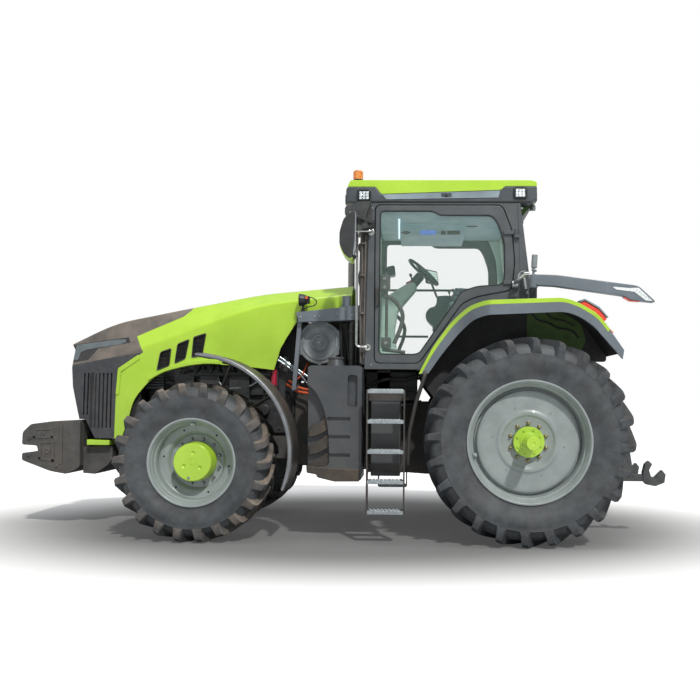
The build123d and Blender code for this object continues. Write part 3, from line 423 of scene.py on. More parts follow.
def studs(bm, middle, side, out, ring, count, phase, r, high, slot=0, dome=True):
    """Ring of hexagon nuts or bolt heads on a face at `out`, all in millimetres and degrees."""
    for i in range(count):
        turn = math.radians(phase + 360 * i / count)
        spot = middle + Vector((ring * math.cos(turn), side * out, ring * math.sin(turn))) / 1000
        revolved(bm, [(side * -1, r * 1.35), (side * 2.5, r * 1.35), (side * 3.5, r * 1.2)], spot, 20, slot)
        revolved(bm, [(side * 2, r * 1.12), (side * high * 0.5, r * 1.12), (side * high * 0.6, r * 0.98),
                      (side * high * 0.6, r * 0.8)], spot, 6, slot)
        top = [(0.6, 0.86), (0.8, 0.78), (0.93, 0.55), (1.0, 0.25), (1.0, 0.01)]
        if not dome:
            top = [(0.55, 0.7), (0.95, 0.7), (1.0, 0.6), (1.0, 0.01)]
        revolved(bm, [(side * high * o, r * k) for o, k in top], spot, 16, slot)


for side, name in sides:
    low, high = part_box(f"rim_rear_{name}")
    middle = (low + high) / 2
    face = 129
    bm = bmesh.new()
    revolved(bm, [(side * o, r) for o, r in ((98, 200), (113, 200), (113, 140), (184, 140), (188, 138),
                                             (190, 133), (190, 84), (198, 80), (201, 72), (201, 61),
                                             (452, 61), (457, 59), (459, 54), (459, 16), (455, 13),
                                             (455, 0.1))], middle, 72)
    for i in range(2):
        turn = math.radians(132 + 180 * i)
        lay = Matrix.Rotation(-turn, 4, "Y")
        for shift in (-9, 9):
            block = bmesh.ops.create_cube(bm, size=1)["verts"]
            bmesh.ops.scale(bm, vec=Vector((78, 20, 12)) / 1000, verts=block)
            bmesh.ops.translate(bm, vec=Vector((101, side * 186, shift)) / 1000, verts=block)
            bmesh.ops.transform(bm, matrix=Matrix.Translation(middle) @ lay, verts=block)
    studs(bm, middle, side, 190, 110, 8, 20, 10, 9, dome=False)
    hub = made(f"hub_clamp_{name}", bm, [lime_enamel], f"wheel_rear_{name}", "lime_paint", edge=1.5,
               crease=40)
    inner = bmesh.new()
    revolved(inner, [(side * o, r) for o, r in ((-200, 60), (99, 60), (99, 199))], middle, 48)
    made(f"hub_bar_{name}", inner, [bolt_steel], f"wheel_rear_{name}", "steel")
    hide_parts(f"hub_rear_{name}")
    bm = bmesh.new()
    studs(bm, middle, side, face, 167.5, 10, 90, 15, 34)
    made(f"wheel_nuts_rear_{name}", bm, [bolt_brass], f"wheel_rear_{name}", "steel", crease=30)

    low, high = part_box(f"rim_front_{name}")
    middle = (low + high) / 2
    face, cap = 3.5, 193.5
    bm = bmesh.new()
    rings = [0.5, 8, 16, 24, 30] + list(range(36, 156, 6)) + [158, 164, 168, 172, 175]
    turns = 108
    loops = []
    for r in rings:
        loop = []
        for i in range(turns):
            a = 2 * math.pi * i / turns
            x, z = r * math.cos(a), r * math.sin(a)
            out = cap - (0 if r < 166 else (r - 166) ** 2 * 0.12)
            for k in range(3):
                dimple = math.radians(95 + 120 * k)
                near = math.hypot(x - 85 * math.cos(dimple), z - 85 * math.sin(dimple))
                if near < 20:
                    out -= 14 * (0.5 + 0.5 * math.cos(math.pi * near / 20)) ** 0.7
            out -= 3 if 26 < r < 34 else 0
            loop.append(bm.verts.new(middle + Vector((x, side * out, z)) / 1000))
        loops.append(loop)
    skinned(bm, loops)
    bm.faces.new(loops[0])
    revolved(bm, [(side * o, r) for o, r in ((cap - 9.7, 175), (70, 175), (60, 182), (-12.5, 182),
                                             (-12.5, 245), (-40, 245), (-56, 150), (-56, 70))], middle,
             turns)
    bmesh.ops.remove_doubles(bm, verts=bm.verts, dist=2e-4)
    hub = made(f"hub_cap_{name}", bm, [lime_enamel], f"wheel_front_{name}", "lime_paint", crease=40)
    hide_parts(f"hub_front_{name}")
    bm = bmesh.new()
    revolved(bm, [(side * o, r) for o, r in ((cap - 4, 14), (cap + 3, 13), (cap + 5, 10), (cap + 5, 6),
                                             (cap + 1, 5), (cap + 1, 0.1))], middle + Vector((30, 0,
            -142)) / 1000, 20)
    made(f"oil_plug_{name}", bm, [bolt_steel], f"wheel_front_{name}", "steel", crease=30)
    bm = bmesh.new()
    studs(bm, middle, side, face, 212.5, 12, 15, 13, 36, dome=False)
    made(f"wheel_nuts_front_{name}", bm, [bolt_steel], f"wheel_front_{name}", "steel", crease=30)

# Bonnet: one pressed steel shell with a soft fold along each side, baked lime enamel inside and
# out. It is cut away over the front wheels, and three slanted vents are pierced above them.


def prism(outline, y0, y1):
    """Closed solid between two distances left, from a side outline of (forward, height) points."""
    bm = bmesh.new()
    near = [bm.verts.new(at(x, y0, z)) for x, z in outline]
    far = [bm.verts.new(at(x, y1, z)) for x, z in outline]
    bm.faces.new(near)
    bm.faces.new(far[::-1])
    for i in range(len(outline)):
        j = (i + 1) % len(outline)
        bm.faces.new((near[i], far[i], far[j], near[j]))
    return bm


def brick(bm, size, place):
    """A block of a size in metres about a place."""
    corners = bmesh.ops.create_cube(bm, size=1)["verts"]
    bmesh.ops.scale(bm, vec=Vector(size), verts=corners)
    bmesh.ops.translate(bm, vec=place, verts=corners)


def joined(bm, part):
    """Moves one mesh under construction into another."""
    mesh = bpy.data.meshes.new("work")
    part.to_mesh(mesh)
    part.free()
    bm.from_mesh(mesh)
    bpy.data.meshes.remove(mesh)


def filleted(points, radius, steps=6, closed=True):
    """The same line with its corners rounded by about the radius."""
    result = []
    count = len(points)
    for i, (x, z) in enumerate(points):
        if not closed and i in (0, count - 1):
            result.append((x, z))
            continue
        here = Vector((x, z))
        before, after = Vector(points[i - 1]) - here, Vector(points[(i + 1) % count]) - here
        reach = min(radius, before.length * 0.45, after.length * 0.45)
        start, end = here + before.normalized() * reach, here + after.normalized() * reach
        for k in range(steps + 1):
            t = k / steps
            spot = start * (1 - t) ** 2 + here * 2 * t * (1 - t) + end * t ** 2
            result.append((spot.x, spot.y))
    return result


def combined(first, second, how):
    """The first solid after a UNION, DIFFERENCE or INTERSECT with the second."""
    work = []
    for bm in (first, second):
        bmesh.ops.recalc_face_normals(bm, faces=bm.faces)
        mesh = bpy.data.meshes.new("work")
        bm.to_mesh(mesh)
        bm.free()
        work.append(bpy.data.objects.new("work", mesh))
        scene.collection.objects.link(work[-1])
    step = work[0].modifiers.new("cut", "BOOLEAN")
    step.object, step.operation, step.solver = work[1], how, "EXACT"
    settle(work[0])
    result = bmesh.new()
    result.from_mesh(work[0].data)
    for left in work:
        bpy.data.objects.remove(left)
    bmesh.ops.remove_doubles(result, verts=result.verts, dist=2e-5)
    return result


# forward, half width, half width and height at the fold, half width and height at the top edge
bonnet_table = [(1600, 428, 426, 2362, 262, 2466), (2208, 440, 438, 2291, 255, 2410), (2574, 446, 444, 2234,
        250, 2372), (3045, 450, 446, 2075, 250, 2285), (3677, 445, 440, 1842, 245, 2160), (4100, 425, 420,
        1700, 240, 2062), (4600, 320, 315, 1600, 195, 1845)]


def bonnet_section(x):
    """Sizes of the bonnet's section at x, faired through the table."""
    last = len(bonnet_table) - 1
    k = max(i for i in range(last) if bonnet_table[i][0] <= x or i == 0)
    t = (x - bonnet_table[k][0]) / (bonnet_table[k + 1][0] - bonnet_table[k][0])
    rows = [bonnet_table[min(max(i, 0), last)] for i in (k - 1, k, k + 1, k + 2)]
    span = rows[2][0] - rows[1][0]
    sizes = []
    for column in range(1, 6):
        before, here, after, beyond = (row[column] for row in rows)
        slope = (after - before) / (rows[2][0] - rows[0][0]) * span
        slope_after = (beyond - here) / (rows[3][0] - rows[1][0]) * span
        sizes.append(here * (2 * t ** 3 - 3 * t ** 2 + 1) + slope * (t ** 3 - 2 * t ** 2 + t) + after
                     * (3 * t ** 2 - 2 * t ** 3) + slope_after * (t ** 3 - t ** 2))
    return sizes


def bonnet_body(inset, low):
    """Closed body of the bonnet's outer shape, drawn in by the inset."""
    bm = bmesh.new()
    loops = []
    for k in range(61):
        x = 1600 + 50 * k
        y_side, y_fold, z_fold, y_top, z_top = bonnet_section(x)
        half = [(y_side - inset, low), (y_side - inset, low + (z_fold - low) * 0.5), (y_fold - inset,
                z_fold - inset / 2), (y_top - inset, z_top - inset), (y_top * 0.5, z_top + 9 - inset),
                (0, z_top + 12 - inset)]
        half = filleted(half, 22, 5, closed=False)
        ring = half + [(-y, z) for y, z in half[-2::-1]]
        loops.append([bm.verts.new(at(x, y, z)) for y, z in ring])
    count = len(loops[0])
    skinned(bm, loops)
    bm.faces.new(loops[0])
    bm.faces.new(loops[-1][::-1])
    return bm


front_line = [(4417, 1095), (4493, 1421), (4507, 1643), (4513, 1800), (4560, 1861)]
arch_line = [(2699, 1631), (2966, 1651), (3107, 1657), (3291, 1635), (3526, 1574), (3681, 1482),
             (3836, 1297), (3905, 1040)]
belly = [(1659, 2238), (2206, 2168), (2206, 2076), (2301, 1926), (2364, 1814), (2428, 1600)]
belly += filleted(arch_line, 90, 5, closed=False) + [(3960, 905), (4240, 905), (4345, 1092)]
whole_side = belly + front_line + [(4560, 2600), (1659, 2600)]
inside_side = [(1500, 800), (4200, 800), (4330, 1095)]
inside_side += [(x - 24, z) for x, z in front_line[:-1]] + [(4489, 2600), (1500, 2600)]
lime_area = [(1500, 2700), (3250, 2700), (3250, 2300), (3311, 2201), (3380, 2138), (3835, 1934),
             (3741, 1769), (3995, 1606), (4017, 1342), (4031, 950), (4035, 800), (1500, 800)]
upper_area = [(3250, 2700), (3250, 2300), (3311, 2201), (3380, 2138), (3835, 1934), (3741, 1769),
              (3800, 1757), (4700, 1612), (4700, 2700)]
lamp_area = [(4700, 1838), (3924, 1925), (3890, 1868), (4240, 1812), (4335, 1690), (4700, 1640)]
vent_table = [[(3604, 1583), (3566, 1773), (3455, 1813), (3474, 1633)], [(3424, 1654), (3395, 1854),
        (3274, 1904), (3313, 1704)], [(3253, 1715), (3234, 1925), (3104, 1965), (3143, 1735)]]
outer = combined(bonnet_body(0, 850), prism(whole_side, -520, 520), "INTERSECT")
inner = combined(bonnet_body(24, 800), prism(inside_side, -520, 520), "INTERSECT")
bonnet_shell = combined(outer, inner, "DIFFERENCE")

hood = combined(bonnet_shell.copy(), prism(lime_area, -520, 520), "INTERSECT")
for vent in vent_table:
    hood = combined(hood, prism(filleted(vent, 22), -520, 520), "DIFFERENCE")
hood = made("bonnet", hood, [lime_enamel], "hood", "lime_paint", edge=5, crease=32)
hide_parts("hood_shell")

# Arch edge: the bonnet's lower edge is rolled over the front wheel and stands out as a bright lip.
for side, name in sides:
    lip_line = filleted([(2966, 1651), (3107, 1657), (3291, 1635), (3526, 1574), (3681, 1482)], 90, 5,
                        closed=False)
    upper_line = [(x + 4, z + 42 - max(0, (x - 3400) * 0.06)) for x, z in lip_line]
    roll = combined(prism(lip_line + upper_line[::-1], side * 438, side * 472), prism([(3400, 1000),
            (5000, 1000), (5000, 1180), (3400, 1180)], -520, 520), "DIFFERENCE")
    made(f"arch_edge_{name}", roll, [lime_enamel], "hood", "lime_paint", edge=6, crease=32, steps=3)
    fold = filleted([(4017, 1342), (3995, 1606), (3790, 1745), (3770, 1700), (3965, 1570), (3985, 1340)], 16)
    made(f"front_fold_{name}", prism(fold, side * 412, side * 447), [lime_enamel], "hood", "lime_paint",
         edge=5, crease=32, steps=3)

# Vent screens: black nylon frames with fine steel mesh, set into the vents from inside.
nylon = finished("moulded_black_nylon", "2a2d2e", 0.55, (40, "252829", "303335"), (3, 0.15), ("6a5f52",
        0.45, 60))
for side, name in sides:
    for number, vent in enumerate(vent_table):
        y_wall = bonnet_section(sum(x for x, z in vent) / 4)[0]
        loops = filleted(vent, 22)
        middle = Vector([sum(v) / len(loops) for v in zip(*loops)])
        bm = bmesh.new()
        rings = []
        for share, out in ((1.0, 2), (1.0, 6), (0.9, 6), (0.88, -14), (0.86, -18)):
            rings.append([bm.verts.new(at(middle.x + (x - middle.x) * share, side * (y_wall + out),
                                          middle.y + (z - middle.y) * share)) for x, z in loops])
        skinned(bm, rings)
        low_z, high_z = min(z for x, z in vent), max(z for x, z in vent)
        x0, x1 = min(x for x, z in vent), max(x for x, z in vent)
        for k in range(int((high_z - low_z) / 13)):
            z = low_z + 13 * k + 6
            lean = (z - low_z) / (high_z - low_z) * (-34)
            brick(bm, (0.112, 0.004, 0.0035), at((x0 + x1) / 2 + 16 + lean, side * (y_wall - 15), z))
        made(f"vent_screen_{name}_{number + 1}", bm, [nylon], "hood", "black_plastic")

# Nose: a black nylon cap over the front of the bonnet, dulled on top by dried brown dust.
dusty_nylon = finished("dusty_black_nylon", "4a4745", 0.6, (160, "454341", "54504c"), (5, 0.2), ("8f8479",
        0.95, 300, 0.7))
nose = combined(bonnet_shell.copy(), prism(upper_area, -520, 520), "INTERSECT")
lamp_shell = combined(bonnet_shell.copy(), prism(lamp_area, -520, 520), "INTERSECT")
nose = combined(nose, prism(lamp_area, -530, 530), "DIFFERENCE")
nose = made("nose", nose, [dusty_nylon], "hood", "dark_grey_plastic", edge=5, crease=32)
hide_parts("nose_cap")

# Headlamps: clear polycarbonate over a grey bezel and dark reflectors, one wrapping each corner.
lamp_cover = finished("smoked_lamp_polycarbonate", "23221f", 0.1, (170, "1e2022", "2e2b28"), (80, 0.1),
                      settings={"Coat Weight": 1.0, "Coat Roughness": 0.04, "IOR": 1.58})
bezel_grey = finished("painted_bezel_grey", "646d70", 0.4, (90, "5f686b", "6d7679"), (20, 0.1),
                      metallic=0.15)
lamp_shell = made("headlamp_covers", lamp_shell, [lamp_cover], "hood", "lamp_glass", edge=4, crease=32)
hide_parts("headlamps")
outer = combined(bonnet_body(-3, 850), prism(whole_side[:-2] + [(4566, 2600), (1659, 2600)], -530, 530),
                 "INTERSECT")
trim = combined(outer, prism(filleted([(4508, 1852), (4508, 1700), (4478, 1690), (4452, 1700), (4440, 1772),
                                       (4380, 1800), (4010, 1850), (3940, 1872), (3950, 1905),
                                       (4060, 1902)], 10), -530, 530), "INTERSECT")
trim = combined(trim, bonnet_body(10, 800), "DIFFERENCE")
made("headlamp_bezels", trim, [bezel_grey], "hood", "dark_grey_plastic", edge=3, crease=32)

# Grille: black nylon sides and front with leaning upright slots, and the radiator's fins behind.
front_nylon = finished("dusty_grille_nylon", "34383d", 0.5, (70, "30343a", "3d4146"), (4, 0.2), ("6d6358",
        0.22, 120, 0.3))
grille_area = [(3741, 1769), (3800, 1757), (4700, 1612), (4700, 800), (4035, 800), (4031, 950),
               (4017, 1342), (3995, 1606)]
grille = combined(bonnet_shell, prism(grille_area, -520, 520), "INTERSECT")
slots = bmesh.new()
for i in range(8):
    x = 4064 + i * 42
    corners = [(x + 2, 1010), (x + 19, 1010), (x + 8, 1560), (x - 9, 1560)]
    if x > 4300:
        corners = [(x + 2, 1140), (x + 19, 1140), (x + 8, 1560), (x - 9, 1560)]
    near = [slots.verts.new(at(px, -520, pz)) for px, pz in corners]
    far = [slots.verts.new(at(px, 520, pz)) for px, pz in corners]
    slots.faces.new(near)
    slots.faces.new(far[::-1])
    for k in range(4):
        slots.faces.new((near[k], far[k], far[(k + 1) % 4], near[(k + 1) % 4]))
grille = combined(grille, slots, "DIFFERENCE")
slots = bmesh.new()
for i in range(-6, 7):
    for z0, z1 in ((1150, 1350), (1375, 1580)):
        brick(slots, (0.3, 0.026, (z1 - z0) / 1000), at(4450, i * 42, (z0 + z1) / 2))
grille = combined(grille, slots, "DIFFERENCE")
grille = made("grille", grille, [front_nylon], "hood", "black_plastic", edge=3, crease=32)
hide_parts("front_grille")
fins, tree, shader = surface("black_radiator_fins", "26282a", 0.45, 0.6)
place = add(tree, "ShaderNodeTexCoord")
rows = add(tree, "ShaderNodeTexWave", {"wave_type": "BANDS", "bands_direction": "Z",
                                       "Scale": 1000 / 14 / 6.28, "Distortion": 0.3},
           {"Vector": place.outputs["Object"]})
tree.links.new(blended(tree, rows.outputs["Fac"], "17191a", "3d4042"), shader.inputs["Base Color"])
fin_relief = add(tree, "ShaderNodeBump", {"Distance": 0.003, "Strength": 1.0},
                 {"Height": rows.outputs["Fac"]})
tree.links.new(fin_relief.outputs["Normal"], shader.inputs["Normal"])
core = prism([(3560, 1000), (3760, 1000), (3760, 1400), (3560, 1400)], -215, 215)
joined(core, prism([(3560, 1400), (3760, 1400), (3760, 1640), (3560, 1700)], -345, 345))
made("radiator_core", core, [fins], "root", "black_plastic", edge=8)
header = prism([(3530, 1640), (3790, 1600), (3790, 1680), (3530, 1750)], -350, 350)
made("radiator_header", header, [nylon], "root", "black_plastic", edge=20, steps=3)
pan = prism([(3560, 960), (4240, 905), (4240, 945), (3760, 1010)], -300, 300)
made("radiator_tray", pan, [nylon], "root", "black_plastic", edge=6)

# Bumper lip: a folded steel strip in the bonnet's lime, bolted under the grille.
body_of = {node: body for body, nodes in frame["record"]["behaviour"]["bodies"].items() for node in nodes}


def eased(node, finishes, slot, edge, crease=30, steps=2, name=None):
    """A CAD node's own shape with its edges rounded in mm, standing for the node."""
    bm = bmesh.new()
    bm.from_mesh(frame["nodes"][node].data)
    bmesh.ops.remove_doubles(bm, verts=bm.verts, dist=1e-5)
    bmesh.ops.dissolve_limit(bm, angle_limit=math.radians(0.5), verts=bm.verts, edges=bm.edges)
    piece = made(name or node + "_shape", bm, finishes, body_of[node], slot, edge, crease, steps)
    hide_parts(node)
    return piece


eased("bumper_lip", [lime_enamel], "lime_paint", 7, steps=3)

# Front weights: eleven grey iron castings hung side by side on the front frame. Foundry black
# paint, rough from the sand mould, lies under brown road dust, thickest on top.
cast_iron = finished("painted_grey_iron_casting", "3e3f3e", 0.74, (110, "393b3c", "4a4b4a"), (7, 1.0, 6),
                     ("83766a", 0.8, 260, 0.9))
weight_outline = filleted([(4380, 1084), (4647, 1074), (4881, 1042), (4965, 961), (4971, 835), (4818, 826),
                           (4807, 761), (4970, 752), (4972, 679), (4684, 571), (4521, 543), (4440, 574),
                           (4380, 615)], 22, 4)
for number in range(11):
    y0 = -427 + 78 * number
    bm = prism(weight_outline, y0, y0 + 74)
    plate = made(f"front_weight_{number + 1}", bm, [cast_iron], "root", "cast_black", edge=7, crease=40)
    if number == 0:
        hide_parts("front_weights")
made("weight_carrier", prism([(4384, 640), (4384, 1050), (4500, 1040), (4500, 660)], -420, 420),
     [cast_iron], "root", "cast_black", edge=5)
for side, name in sides:
    bm = bmesh.new()
    raised = [[(4858, 1004), (4650, 1012), (4650, 985), (4858, 978)], [(4858, 978), (4826, 982),
            (4826, 905), (4858, 900)], [(4676, 990), (4644, 992), (4644, 905), (4676, 903)], [(4858, 922),
            (4650, 926), (4650, 900), (4858, 896)], [(4800, 872), (4640, 876), (4640, 850), (4800, 846)],
            [(4800, 850), (4772, 850), (4772, 690), (4800, 690)], [(4668, 850), (4640, 850), (4640, 660),
            (4668, 668)], [(4800, 712), (4640, 690), (4640, 664), (4800, 686)], [(4590, 1040), (4556, 1042),
            (4556, 640), (4590, 640)]]
    for outline in raised:
        joined(bm, prism(filleted(outline, 8, 3), side * 424, side * 434))
    for x, z, r in ((4895, 905, 22), (4760, 945, 20), (4706, 770, 26), (4620, 620, 14), (4900, 730, 14)):
        revolved(bm, [(side * 0, r + 3), (side * 8, r + 2), (side * 11, r - 2), (side * 11, r - 8),
                      (side * 6, r - 9), (side * 6, 0.1)], at(x, side * 425, z), 24)
    made(f"weight_ribs_{name}", bm, [cast_iron], "root", "cast_black", edge=2.5, crease=40)

# Frame and front axle: welded plate and iron castings in satin chassis black under road dust.
chassis_black = finished("satin_chassis_black", "2c2e2f", 0.55, (130, "292b2d", "37393a"), (16, 0.4),
                         ("6f6152", 0.75, 210, 0.7))
eased("front_frame", [cast_iron], "cast_black", 9)
eased("front_axle_beam", [chassis_black], "cast_black", 8)
eased("knuckle_left", [chassis_black], "cast_black", 4)
eased("knuckle_right", [chassis_black], "cast_black", 4)
ground_steel = finished("ground_steel_rod", "9a9d9d", 0.3, (25, "8b8f90", "a9adad"), (8, 0.1), ("6c5f50",
        0.4, 60), metallic=0.9)
eased("tie_rod", [chassis_black], "steel", 2)
for side, name in sides:
    bm = bmesh.new()
    for k in range(6):
        a = 2 * math.pi * k / 6
        spot = at(3045 + 62 * math.cos(a), side * 760 + 62 * math.sin(a), 900)
        for r, z0, z1 in ((12, 0, 9), (7, 9, 14)):
            ring = [bm.verts.new(spot + Vector((r * math.cos(b), r * math.sin(b), z0)) / 1000)
                    for b in (math.pi / 3 * j for j in range(6))]
            top = [bm.verts.new(v.co + Vector((0, 0, (z1 - z0) / 1000))) for v in ring]
            bm.faces.new(top)
            for j in range(6):
                bm.faces.new((ring[j], ring[(j + 1) % 6], top[(j + 1) % 6], top[j]))
    made(f"pivot_bolts_{name}", bm, [ground_steel], "root", "steel", edge=1)
    ram = bmesh.new()
    for start, end, r in (((2830, side * 120, 900), (2830, side * 420, 900), 42), ((2830, side * 410, 900),
            (2830, side * 640, 900), 21)):
        a, b = at(*start), at(*end)
        revolved(ram, [(0, 0.1), (0, r), ((b - a).y * 1000, r), ((b - a).y * 1000, 0.1)], a, 32)
    made(f"steering_ram_{name}", ram, [ground_steel], "root", "steel", edge=2)
bracket = prism([(2780, 820), (2780, 950), (2880, 950), (2880, 820)], -140, 140)
made("steering_ram_bracket", bracket, [chassis_black], "root", "cast_black", edge=8)

# Mudguards: rolled steel arches over the front wheels, steered with them on two bent bars. The thick outer
# edge is a grey steel band drawn light as a painted highlight, and dust lies on the top.
# Light grey of the mudguard's outer edge: a painted highlight.
guard_edge_painted_highlight = finished("rolled_steel_edge_painted_highlight", "7a8085", 0.36, (120, "70767b", "8b8f94"), (18, 0.25),
                       ("948a80", 0.5, 330, 0.95), metallic=0.35)
for side, name in sides:
    eased(f"mudguard_{name}", [chassis_black], "black_plastic", 5, crease=28)
    bm = bmesh.new()
    loops = []
    section = [(1131, 905), (1170, 905), (1178, 897), (1180, 884), (1176, 872), (1168, 866), (1131, 866)]
    for k in range(61):
        a = math.radians(91.6 + 110.8 * k / 60)
        taper = 1 if 2 < k < 58 else 0.55 + 0.15 * min(k, 60 - k)
        loops.append([bm.verts.new(at(3034 + (885 + (r - 885) * taper) * math.cos(a), side * y,
                                      823 + (885 + (r - 885) * taper) * math.sin(a))) for y, r in section])
    skinned(bm, loops)
    bm.faces.new(loops[0])
    bm.faces.new(loops[-1][::-1])
    made(f"mudguard_rim_{name}", bm, [guard_edge_painted_highlight], f"knuckle_{name}", "black_plastic", crease=40)

# Engine: a grey-black iron six-cylinder with steel charge pipes, a red accumulator, orange
# wiring conduit and rubber hoses, open to view between the bonnet and the tank.
engine_iron = finished("engine_casting_enamel", "303336", 0.5, (60, "282b2d", "3c3f42"), (12, 0.6),
                       ("5a5046", 0.3, 90, 0.6), metallic=0.1)
pipe_steel = finished("aluminised_pipe", "9ba4a8", 0.3, (30, "8c969b", "b3bcc0"), (10, 0.1), metallic=0.85)
red_enamel = finished("red_cylinder_enamel", "b3233c", 0.35, (50, "a61f37", "c02b45"), (20, 0.1),
                      settings={"Coat Weight": 0.4})
orange_conduit = finished("orange_corrugated_conduit", "d9582b", 0.5, (40, "c94f25", "e2673a"), (7, 0.8, 1),
                          ("6e5440", 0.25, 40))
hose_rubber = finished("black_rubber_hose", "1f2122", 0.6, (35, "1b1d1e", "2b2d2e"), (4, 0.2))


def pipe(bm, points, r, bend, segments=16, slot=0, side=1):
    """Round pipe through the points with rounded corners, all in millimetres; -1 mirrors it."""
    points = [(x, y * side, z) for x, y, z in points]
    route = []
    for i, p in enumerate(points):
        here = Vector(p)
        if i in (0, len(points) - 1):
            route.append(here)
            continue
        before, after = Vector(points[i - 1]) - here, Vector(points[i + 1]) - here
        reach = min(bend, before.length * 0.48, after.length * 0.48)
        start, end = here + before.normalized() * reach, here + after.normalized() * reach
        route += [start.lerp(here, t / 6).lerp(here.lerp(end, t / 6), t / 6) for t in range(7)]
    rings = []
    normal = None
    for i, here in enumerate(route):
        along = (route[min(i + 1, len(route) - 1)] - route[max(i - 1, 0)]).normalized()
        if normal is None:
            normal = along.orthogonal().normalized()
        normal = (normal - along * normal.dot(along)).normalized()
        across = along.cross(normal)
        rings.append([bm.verts.new(at(*(here + (normal * math.cos(a) + across * math.sin(a)) * r)))
                      for a in (2 * math.pi * k / segments for k in range(segments))])
    skinned(bm, rings, slot)
    bm.faces.new(rings[0][::-1]).material_index = slot
    bm.faces.new(rings[-1]).material_index = slot


block = prism([(2250, 960), (3450, 960), (3450, 1560), (3380, 1640), (3380, 1750), (2300, 1750),
               (2300, 1640), (2250, 1600)], -230, 230)
block = made("engine_crankcase", block, [engine_iron], "root", "cast_black", edge=12)
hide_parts("engine_block")
for side, name in sides:
    bm = bmesh.new()
    for k in range(6):
        x = 2480 + 150 * k
        brick(bm, (0.13, 0.05, 0.30), at(x, side * 250, 1500))
        pipe(bm, [(x, 240, 1640), (x, 315, 1640), (x + 20, 325, 1560)], 26, 30, side=side)
    for x, top in ((2700, 1560), (3000, 1600), (3260, 1560)):
        brick(bm, (0.2, 0.1, (top - 1180) / 1000), at(x + 100, side * 280, (top + 1180) / 2))
    pipe(bm, [(2480, 300, 1560), (3320, 300, 1560)], 38, 10, 20, side=side)
    for x in (2560, 2790, 3120):
        revolved(bm, [(side * 0, 0.1), (side * 0, 60), (side * 50, 60), (side * 58, 52), (side * 58, 0.1)],
                 at(x, side * 232, 1200), 32)
    for k in range(10):
        x = 2290 + 118 * k
        revolved(bm, [(side * 0, 14), (side * 10, 14), (side * 10, 0.1)], at(x, side * 230, 1010), 6)
    made(f"engine_castings_{name}", bm, [engine_iron], "root", "cast_black", edge=4, crease=40)
    bm = bmesh.new()
    for shift in (-60, 0):
        pipe(bm, [(2420 - shift, 200, 1750), (2420 - shift, 330, 1752), (2080 - shift, 330, 1520),
                  (2080 - shift, 120, 1520)], 16, 40, side=side)
    pipe(bm, [(2350, 300, 1730), (2330, 345, 1690), (2180, 352, 1560), (2120, 345, 1490)], 9, 40, side=side)
    pipe(bm, [(2600, 306, 1500), (2700, 314, 1430), (3200, 345, 1380)], 11, 60, side=side)
    pipe(bm, [(2670, 222, 1270), (2700, 324, 1300), (2900, 345, 1330), (3000, 340, 1480)], 9, 60, side=side)
    for x, z in ((2230, 1606), (2320, 1668)):
        revolved(bm, [(side * -20, 22), (side * 20, 22), (side * 20, 0.1)], at(x, side * 330, z), 6)
    made(f"charge_pipes_{name}", bm, [pipe_steel], "root", "steel", crease=40)
    bm = bmesh.new()
    pipe(bm, [(2454, 300, 1420), (2454, 300, 1600)], 31, 1, 28, side=side)
    pipe(bm, [(2454, 300, 1408), (2454, 300, 1424)], 22, 1, 20, side=side)
    pipe(bm, [(2454, 300, 1598), (2454, 300, 1612)], 24, 1, 20, side=side)
    made(f"accumulator_{name}", bm, [red_enamel], "root", "cast_black", edge=3, crease=40)
    holder = prism([(2424, 1430), (2484, 1430), (2484, 1452), (2424, 1452)], side * 228, side * 334)
    made(f"accumulator_bracket_{name}", holder, [engine_iron], "root", "cast_black", edge=2)
    bm = bmesh.new()
    pipe(bm, [(2310, 235, 1500), (2300, 300, 1500), (2180, 330, 1420), (2060, 345, 1400), (2030, 400,
            1330)], 13, 50, side=side)
    pipe(bm, [(2330, 235, 1460), (2310, 310, 1455), (2190, 345, 1380), (2080, 372, 1372), (2040, 420,
            1300)], 13, 50, side=side)
    pipe(bm, [(2090, 235, 1700), (2120, 320, 1660), (2150, 345, 1560), (2250, 340, 1480)], 9, 60, side=side)
    made(f"orange_conduit_{name}", bm, [orange_conduit], "root", "black_plastic")
    bm = bmesh.new()
    pipe(bm, [(2330, 222, 1380), (2310, 276, 1350), (2262, 276, 1250), (2262, 260, 1130), (2300, 222,
            1100)], 17, 50, side=side)
    pipe(bm, [(2520, 222, 1400), (2540, 246, 1380), (2600, 246, 1260), (2700, 246, 1150), (2720, 222,
            1120)], 15, 60, side=side)
    pipe(bm, [(3330, 240, 1480), (3420, 300, 1450), (3540, 320, 1480)], 28, 60, side=side)
    pipe(bm, [(3330, 215, 1180), (3430, 225, 1150), (3565, 205, 1150)], 28, 60, side=side)
    made(f"engine_hoses_{name}", bm, [hose_rubber], "root", "black_plastic")

# Gearbox and rear axle: one long iron casting carrying the machine, with trumpet housings.
eased("transmission_housing", [chassis_black], "cast_black", 10)
eased("rear_axle_housing", [chassis_black], "cast_black", 8)

